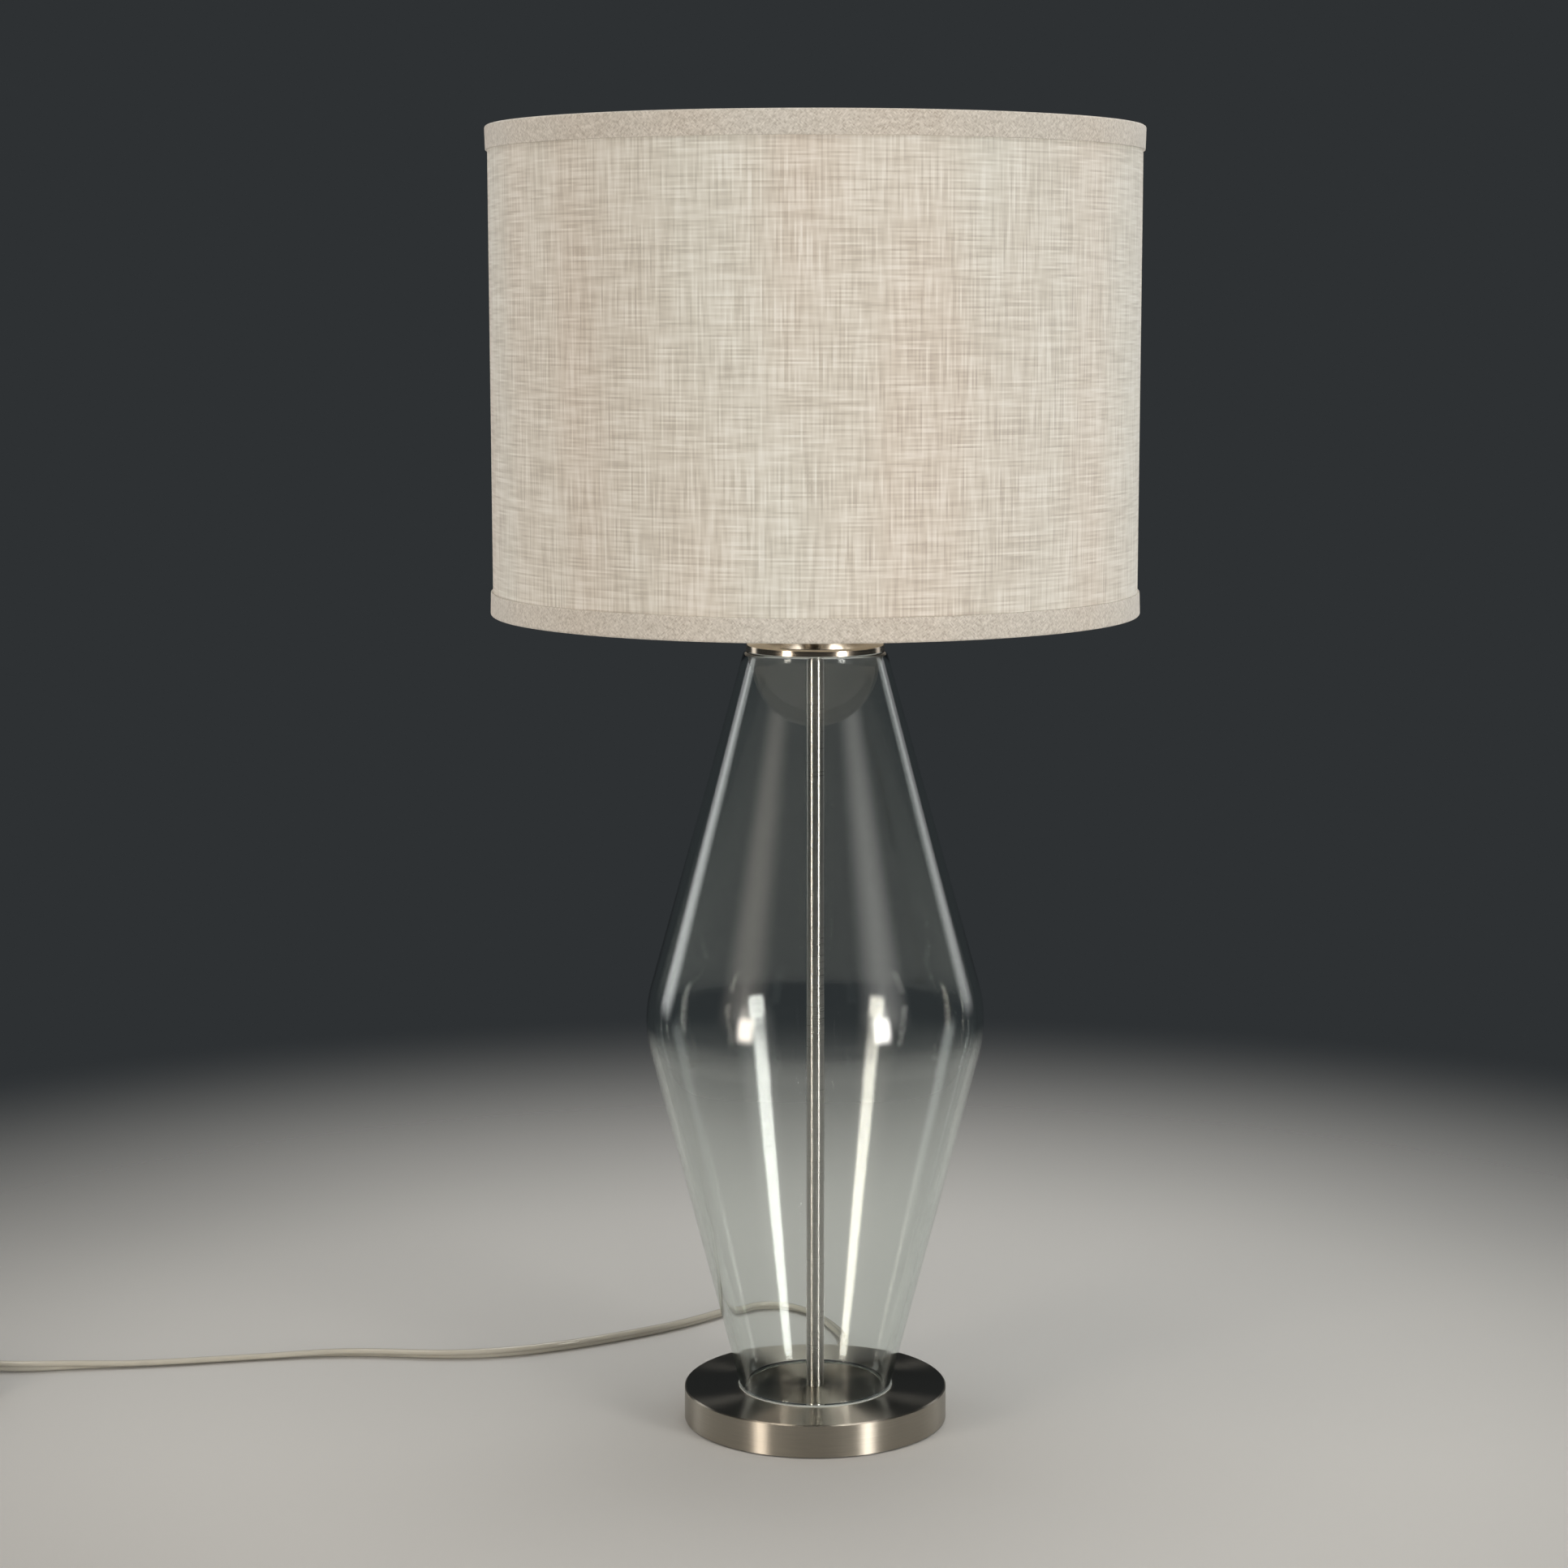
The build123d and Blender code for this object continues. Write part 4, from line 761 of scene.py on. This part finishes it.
# ---- cord ------------------------------------------------------------------------------
@dataclass
class PowerCord:
    """The flat clear twin cord, from its bushing to its plug."""

    width: float = 7.0 * MM
    thickness: float = 3.6 * MM
    strands: float = 0.95 * MM          # each conductor's radius
    exit_turn: float = 10.0             # degrees from the back, towards +X
    exit_height: float = 7.2 * MM
    exit_reach: float = 95.0 * MM
    first_run: float = 18.0 * MM
    coil_centre: float = -527.0 * MM
    inner_arc: float = 33.0 * MM
    climb_arc: float = 30.5 * MM
    arc_step: float = 4.5 * MM
    layer: float = 7.6 * MM
    lower_half_turns: int = 4
    upper_half_turns: int = 3
    points_per_half: int = 6
    spacing: float = 4.0 * MM           # between the jacket's sections
    tie_width: float = 4.0 * MM
    tie_sheet: float = 0.8 * MM
    tie_corner: float = 3.0 * MM
    tie_lobe: float = 1.0 * MM          # half the thickness of one of the tie's ends
    tie_turns: float = 3.5

    # The way over the table, in millimetres.
    ROUTE = (
        (21.2, 131.0, 5.2), (17.2, 151.5, 3.5), (8.0, 172.5, 3.5),
        (-5.0, 193.5, 3.5), (-25.5, 204.0, 3.5), (-47.0, 199.0, 3.5), (-62.0, 182.0, 3.5),
        (-83.0, 161.0, 3.5), (-113.0, 140.0, 3.5), (-147.0, 120.0, 3.5), (-182.0, 105.5, 3.5),
        (-219.0, 100.5, 3.5), (-256.0, 105.5, 3.5), (-297.0, 106.5, 3.5), (-343.0, 98.0, 3.5),
        (-389.0, 88.0, 3.5), (-431.0, 83.0, 3.5), (-470.0, 76.0, 3.5), (-497.0, 77.5, 4.5),
        (-520.0, 77.5, 4.5),
    )
    # From the coil's end to the plug, in millimetres.
    TAIL = ((0.0, 0.0, 0.0), (0.0, -15.0, 0.0), (1.5, -33.0, -3.0), (0.5, -53.0, -6.1), (0.5, -69.0, -6.1))
    # How the flat side turns: (metres from the bushing, degrees from lying flat).
    TWIST = ((0.0, 0.0), (0.05, 5.0), (0.16, 48.0), (0.30, 62.0), (0.40, 40.0), (0.47, 18.0),
             (0.54, 22.0), (0.61, 72.0), (0.66, 90.0), (9.0, 90.0))

    def exit_point(self, reach: float) -> Vector:
        """A point on the bushing's axis.

        Args:
            reach: its distance from the lamp's axis.
        Returns:
            The point.
        """
        angle = math.radians(90 - self.exit_turn)
        return Vector((reach * math.cos(angle), reach * math.sin(angle), self.exit_height))

    def half_turn(self, start: Vector, radius: float, side: int, rise: float = 0.0) -> tuple[list[Vector], Vector]:
        """Control points of half a turn of the coil.

        Args:
            start: where the half turn starts, on the cord's line.
            radius: its radius.
            side: -1 where it bulges to -X, and 1 where it bulges to +X.
            rise: how much it climbs.
        Returns:
            The control points and the half turn's end.
        """
        centre = start + Vector((0, side * radius, 0))
        step = math.pi / self.points_per_half
        reach = radius / math.cos(step / 2)
        points = []
        for index in range(self.points_per_half):
            angle = (index + 0.5) * step
            climb = rise * (index + 0.5) / self.points_per_half
            points.append(centre + Vector((
                side * reach * math.sin(angle), -side * reach * math.cos(angle), climb)))
        return points, centre + Vector((0, side * radius, rise))

    def coil(self) -> tuple[list[Vector], Vector]:
        """Control points of the coil, inwards below and outwards on top, and where it ends."""
        entry = Vector(self.ROUTE[-1]) * MM
        here = Vector((self.coil_centre, entry.y, entry.z))
        points, side = [], -1
        for turn in reversed(range(self.lower_half_turns)):
            some, here = self.half_turn(here, self.inner_arc + turn * self.arc_step, side)
            points += some
            side = -side
        some, here = self.half_turn(here, self.climb_arc, side, self.layer)
        points += some
        side = -side
        for turn in range(self.upper_half_turns):
            some, here = self.half_turn(here, self.inner_arc + turn * self.arc_step, side)
            points += some
            side = -side
        radius = self.inner_arc + self.upper_half_turns * self.arc_step
        some, _ = self.half_turn(here, radius, -1)
        points += some[:self.points_per_half // 2]
        end = here + Vector((-radius, -radius - self.width, 0))
        return points, end

    def control_points(self) -> list[Vector]:
        """The whole route, from the bushing to the plug."""
        start = [self.exit_point(self.exit_reach), self.exit_point(self.exit_reach + self.first_run)]
        coil, end = self.coil()
        tail = [end + Vector(step) * MM for step in self.TAIL]
        return start + [Vector(p) * MM for p in self.ROUTE] + coil + tail

    def centreline(self) -> list[Vector]:
        """Points read from the route's NURBS spline, evenly spaced."""
        points = self.control_points()
        curve = bpy.data.curves.new("cord_route", "CURVE")
        curve.dimensions = "3D"
        spline = curve.splines.new("NURBS")
        spline.points.add(len(points) - 1)
        for target, point in zip(spline.points, points):
            target.co = (*point, 1.0)
        spline.order_u = 3
        spline.use_endpoint_u = True
        spline.resolution_u = 12
        holder = bpy.data.objects.new("cord_route", curve)
        line = [v.co.copy() for v in bpy.data.meshes.new_from_object(holder).vertices]
        bpy.data.objects.remove(holder)
        return self.even(line)

    def even(self, line: list[Vector]) -> list[Vector]:
        """Spaces the line's points evenly.

        Args:
            line: the points of a line.
        Returns:
            Points on it, one section apart.
        """
        runs = [(b - a).length for a, b in zip(line, line[1:])]
        total = sum(runs)
        count = round(total / self.spacing)
        made, index, passed = [], 0, 0.0
        for step in range(count + 1):
            want = total * step / count
            while index < len(runs) - 1 and passed + runs[index] < want:
                passed += runs[index]
                index += 1
            made.append(line[index].lerp(line[index + 1], min(1.0, (want - passed) / runs[index])))
        return made

    def twist_at(self, distance: float) -> float:
        """The turn of the flat side, in radians, at a distance from the bushing."""
        for (near, first), (far, second) in zip(self.TWIST, self.TWIST[1:]):
            if distance <= far:
                share = (distance - near) / (far - near)
                share = share * share * (3 - 2 * share)
                return math.radians(first + (second - first) * share)
        return math.radians(self.TWIST[-1][1])

    def lay_down(self, line: list[Vector]) -> tuple[list[Matrix], list[float]]:
        """Frames along the cord, lowered where its flat side lies on the table.

        Args:
            line: the evenly spaced centreline of a cord that stands on edge.
        Returns:
            A frame for each point, and its distance along the cord.
        """
        lobe = self.thickness / 2
        frames, distances, passed = [], [], 0.0
        for index, point in enumerate(line):
            if index:
                passed += (point - line[index - 1]).length
            ahead = line[min(index + 1, len(line) - 1)] - line[max(index - 1, 0)]
            ahead.normalize()
            side = ahead.cross(Vector((0, 0, 1))).normalized()
            turn = self.twist_at(passed)
            wide = (Matrix.Rotation(turn, 3, ahead) @ side).normalized()
            thin = ahead.cross(wide)
            rest = lobe + (self.width / 2 - lobe) * abs(math.sin(turn))
            on_table = max(0.0, min(1.0, (self.width - point.z) / (self.width / 2)))
            drop = (self.width / 2 - rest) * on_table
            place = point - Vector((0, 0, drop))
            frames.append(Matrix((
                (wide.x, thin.x, ahead.x, place.x), (wide.y, thin.y, ahead.y, place.y),
                (wide.z, thin.z, ahead.z, place.z), (0, 0, 0, 1))))
            distances.append(passed)
        return frames, distances

    def tube(self, section: list[Vector], frames: list[Matrix], distances: list[float],
             index: int) -> bpy.types.Mesh:
        """Sweeps one closed section along the cord and closes both ends.

        Args:
            section: its outline, in the plane of a frame.
            frames: the frames along the cord.
            distances: how far along each frame is.
            index: the tube's material.
        Returns:
            The tube's mesh.
        """
        mesh = bmesh.new()
        cloth_layers(mesh)
        across = mesh.verts.layers.float["across"]
        ring = [mesh.verts.new(p) for p in section]
        run = 0.0
        for first, second in zip(ring, ring[1:] + ring[:1]):
            first[across] = run
            run += (second.co - first.co).length
        bmesh.ops.transform(mesh, matrix=frames[0], verts=ring)
        edges = [mesh.edges.new(pair) for pair in zip(ring, ring[1:] + ring[:1])]
        last = sweep(mesh, edges, frames, distances)
        bmesh.ops.contextual_create(mesh, geom=edges)
        bmesh.ops.contextual_create(mesh, geom=last)
        bmesh.ops.recalc_face_normals(mesh, faces=mesh.faces[:])
        for face in mesh.faces:
            face.material_index = index
        data = bpy.data.meshes.new("cord_tube")
        mesh.to_mesh(data)
        mesh.free()
        return data

    @staticmethod
    def two_lobes(width: float, lobe: float) -> list[Vector]:
        """Two round lobes side by side, with a groove between them.

        Args:
            width: the width over both.
            lobe: the radius of each.
        Returns:
            The outline's points in order.
        """
        centre = width / 2 - lobe
        points = []
        for side in (1, -1):
            for step in range(13):
                angle = math.radians(-144 + 288 * step / 12) + (0 if side > 0 else math.pi)
                points.append(Vector((side * centre + lobe * math.cos(angle), lobe * math.sin(angle), 0)))
        return points

    def tie(self) -> bpy.types.Object:
        """A plastic-covered wire tie round the coil's bundle, with its ends twisted together."""
        low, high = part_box("coil_tie")
        top = self.ROUTE[-1][2] * MM + self.layer + self.width / 2 + 0.6 * MM
        mesh = bmesh.new()
        half = self.tie_sheet / 2
        outline(mesh, [Corner(x, z, self.tie_corner, 5) for x, z in (
            (low.x + half, low.z + half), (high.x - half, low.z + half),
            (high.x - half, top), (low.x + half, top))])
        bmesh.ops.translate(mesh, verts=mesh.verts[:], vec=(0, low.y, 0))
        grown = bmesh.ops.extrude_edge_only(mesh, edges=mesh.edges[:])["geom"]
        fresh = [g for g in grown if isinstance(g, bmesh.types.BMVert)]
        bmesh.ops.translate(mesh, verts=fresh, vec=(0, self.tie_width, 0))
        bmesh.ops.recalc_face_normals(mesh, faces=mesh.faces[:])
        bmesh.ops.solidify(mesh, geom=mesh.faces[:], thickness=self.tie_sheet)
        start = Vector(((low.x + high.x) / 2, low.y + self.tie_width / 2, top))
        end = Vector((start.x + 8 * MM, start.y + 1.5 * MM, high.z - 2.4 * MM))
        bend = start + Vector((0, 0, 3.5 * MM))
        frames, distances, steps = [], [], 28
        for step in range(steps + 1):
            share = step / steps
            place = start.lerp(bend, share).lerp(bend.lerp(end, share), share)
            ahead = (bend.lerp(end, share) - start.lerp(bend, share)).normalized()
            side = ahead.cross(Vector((0, 1, 0))).normalized()
            side = Matrix.Rotation(FULL_TURN * self.tie_turns * share, 3, ahead) @ side
            thin = ahead.cross(side)
            frames.append(Matrix((side, thin, ahead)).transposed().to_4x4())
            frames[-1].translation = place
            distances.append(share * (end - start).length)
        mesh.from_mesh(self.tube(self.two_lobes(4 * self.tie_lobe, self.tie_lobe), frames, distances, 0))
        return piece("wire_tie", mesh, "lamp", [TIE_PLASTIC], ["coil_tie"])

    def build(self) -> None:
        """Lays the cord on the table and dresses what is on it."""
        frames, distances = self.lay_down(self.centreline())
        lobes = self.two_lobes(self.width, self.thickness / 2)
        tubes = [self.tube(lobes, frames, distances, 0)]
        centre = self.width / 2 - self.thickness / 2
        for side in (1, -1):
            ring = [Vector((side * centre + self.strands * math.cos(a), self.strands * math.sin(a), 0))
                    for a in (FULL_TURN * i / 8 for i in range(8))]
            tubes.append(self.tube(ring, frames, distances, 1))
        mesh = bmesh.new()
        for tube in tubes:
            mesh.from_mesh(tube)
        made = piece("power_cord", mesh, "lamp", [JACKET, STRANDS],
                     ["cord_free", "cord_coil", "cord_tail"], sharp_deg=60)
        for node, finish in (("cord_bushing", JACKET), ("plug_body", JACKET), ("plug_blades", BLADE_PLATE),
                             ("cord_inside", JACKET)):
            dress(node, finish)
        LOG.info("cord is %.3f m long", distances[-1])
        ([self.tie()] + [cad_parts[n] for n in (
                    "cord_bushing", "plug_body", "plug_blades")])


# ---- studio ----------------------------------------------------------------------------
@dataclass
class Studio:
    """The floor, the lamps and the camera, none of which is part of the lamp."""

    frame_px: float = 1932.0
    focal_px: float = 4085.9
    axis_px: float = 1004.5             # the column of the lamp's axis
    distance: float = 1.8222
    height: float = 0.6225
    pitch_deg: float = 8.091
    sensor_mm: float = 36.0
    backdrop: str = "#2E3133"
    ambient: str = "#A6A6A6"            # soft light from all round, which no surface mirrors
    floor: str = "#BEBDB9"
    floor_radius: float = 1.6
    pale_radius: float = 0.30           # the floor is pale up to here, and fades out by the next
    faded_radius: float = 1.10

    def camera(self) -> None:
        """Stands the camera where the photograph was taken from."""
        data = bpy.data.cameras.new("photo_camera")
        data.sensor_width = self.sensor_mm
        data.lens = self.focal_px / self.frame_px * self.sensor_mm
        data.shift_x = -(self.axis_px - self.frame_px / 2) / self.frame_px
        made = bpy.data.objects.new("photo_camera", data)
        made.location = (0, -self.distance, self.height)
        made.rotation_euler = (math.radians(90 - self.pitch_deg), 0, 0)
        bpy.context.scene.collection.objects.link(made)
        bpy.context.scene.camera = made

    def softbox(self, name: str, azimuth: float, elevation: float, reach: float,
                size: tuple[float, float], shine: float, soft: float = 0.3,
                colour: str = "#FFFFFF") -> None:
        """Hangs a rectangular light that looks at the lamp's middle.

        Args:
            name: its name.
            azimuth: degrees from the front, towards +X.
            elevation: degrees above the middle of the lamp.
            reach: its distance in metres.
            size: its width and height in metres.
            shine: its radiance, where 1 shows as white in a mirror.
            soft: how much of the box its edge fades over, up to 0.5.
            colour: its light's colour.
        """
        data = bpy.data.lights.new(name, "AREA")
        data.shape = "RECTANGLE"
        data.size, data.size_y = size
        data.energy = math.pi * size[0] * size[1]
        data.color = linear(colour)[:3]
        data.use_nodes = True
        tree = data.node_tree
        tree.nodes.clear()
        across = add(tree, "SeparateXYZ", {0: add(tree, "NewGeometry").outputs["Parametric"]})
        fades = []
        for axis in (0, 1):
            edge = add(tree, "Math", {0: across.outputs[axis], 1: 0.5}, operation="PINGPONG")
            fades.append(add(tree, "MapRange", {0: edge.outputs[0], 1: 0.0, 2: soft, 3: 0.0, 4: 1.0},
                             interpolation_type="SMOOTHSTEP").outputs[0])
        fade = add(tree, "Math", {0: fades[0], 1: fades[1]}, operation="MULTIPLY")
        power = add(tree, "Math", {0: fade.outputs[0], 1: shine}, operation="MULTIPLY")
        glow = add(tree, "Emission", {"Strength": power.outputs[0]})
        add(tree, "OutputLight", {0: glow.outputs[0]})
        made = bpy.data.objects.new(name, data)
        turn, lift = math.radians(azimuth), math.radians(elevation)
        middle = Vector((0, 0, 0.36))
        away = Vector((math.sin(turn) * math.cos(lift), -math.cos(turn) * math.cos(lift), math.sin(lift)))
        made.location = middle + away * reach
        made.rotation_euler = away.to_track_quat("Z", "Y").to_euler()
        bpy.context.scene.collection.objects.link(made)

    def lights(self) -> None:
        """Two softboxes in front, each with a dim rim and a panel above, and three more behind."""
        for side, turn, share, hue in (("left", -47.0, 0.86, "#FFF4E9"), ("right", 45.0, 1.18, "#FFFBF7")):
            self.softbox(f"core_{side}", turn, 0, 1.55, (0.42, 0.72), 19 * share, 0.35, hue)
            self.softbox(f"rim_{side}", turn * 1.1, 14, 1.75, (1.35, 1.4), 1.3 * share, 0.5, hue)
            self.softbox(f"top_{side}", turn, 56, 1.9, (0.8, 0.5), 8.0 * share, 0.3, hue)
        self.softbox("back_left", -122, 10, 1.8, (0.6, 1.4), 1.7)
        self.softbox("back_right", 128, 10, 1.8, (0.6, 1.4), 1.0)
        self.softbox("overhead", 165, 66, 1.9, (1.5, 1.2), 4.5)
        world = bpy.data.worlds.new("backdrop")
        world.use_nodes = True
        tree = world.node_tree
        tree.nodes.clear()
        ray = add(tree, "LightPath")
        seen = add(tree, "Math", {0: ray.outputs["Is Camera Ray"], 1: ray.outputs["Is Glossy Ray"]},
                   operation="MAXIMUM")
        shown = add(tree, "Math", {0: seen.outputs[0], 1: ray.outputs["Is Transmission Ray"]},
                    operation="MAXIMUM")
        colour = add(tree, "Mix", {0: shown.outputs[0], 6: linear(self.ambient),
                                   7: linear(self.backdrop)}, data_type="RGBA")
        shine = add(tree, "Background", {"Color": colour.outputs[2], "Strength": 1.0})
        add(tree, "OutputWorld", {0: shine.outputs[0]})
        bpy.context.scene.world = world
        bpy.context.scene.view_settings.view_transform = "Standard"

    def ground(self) -> None:
        """A plain pale floor that fades into the backdrop."""
        mesh = bmesh.new()
        bmesh.ops.create_circle(mesh, cap_ends=True, radius=self.floor_radius, segments=96)
        data = bpy.data.meshes.new("floor")
        mesh.to_mesh(data)
        mesh.free()
        made = bpy.data.objects.new("floor", data)
        bpy.context.scene.collection.objects.link(made)
        paint = bpy.data.materials.new("floor")
        paint.use_nodes = True
        tree = paint.node_tree
        tree.nodes.clear()
        place = add(tree, "TexCoord").outputs["Object"]
        radius = add(tree, "VectorMath", {0: place}, operation="LENGTH").outputs["Value"]
        share = add(tree, "MapRange", {0: radius, 1: self.pale_radius, 2: self.faded_radius},
                    interpolation_type="SMOOTHSTEP").outputs[0]
        pale = add(tree, "BsdfDiffuse", {"Color": linear(self.floor)}).outputs[0]
        gone = add(tree, "BsdfTransparent").outputs[0]
        mixed = add(tree, "MixShader", {0: share, 1: pale, 2: gone})
        add(tree, "OutputMaterial", {"Surface": mixed.outputs[0]})
        data.materials.append(paint)

    def build(self) -> None:
        """Sets up the camera, the lamps and the floor."""
        self.camera()
        self.lights()
        self.ground()


def main() -> None:
    """Builds the studio and the lamp, one sub-assembly after another."""
    logging.basicConfig(level=logging.INFO, format="%(relativeCreated)6.0f ms: %(message)s")
    Studio().build()
    LOG.info("set up the studio")
    PowerCord().build()
    Base().dress()
    GlassVase().build()
    Harp().dress()
    Lampholder().dress()
    Bulb().dress()
    DrumShade().build()


if __name__ == "__main__":
    main()
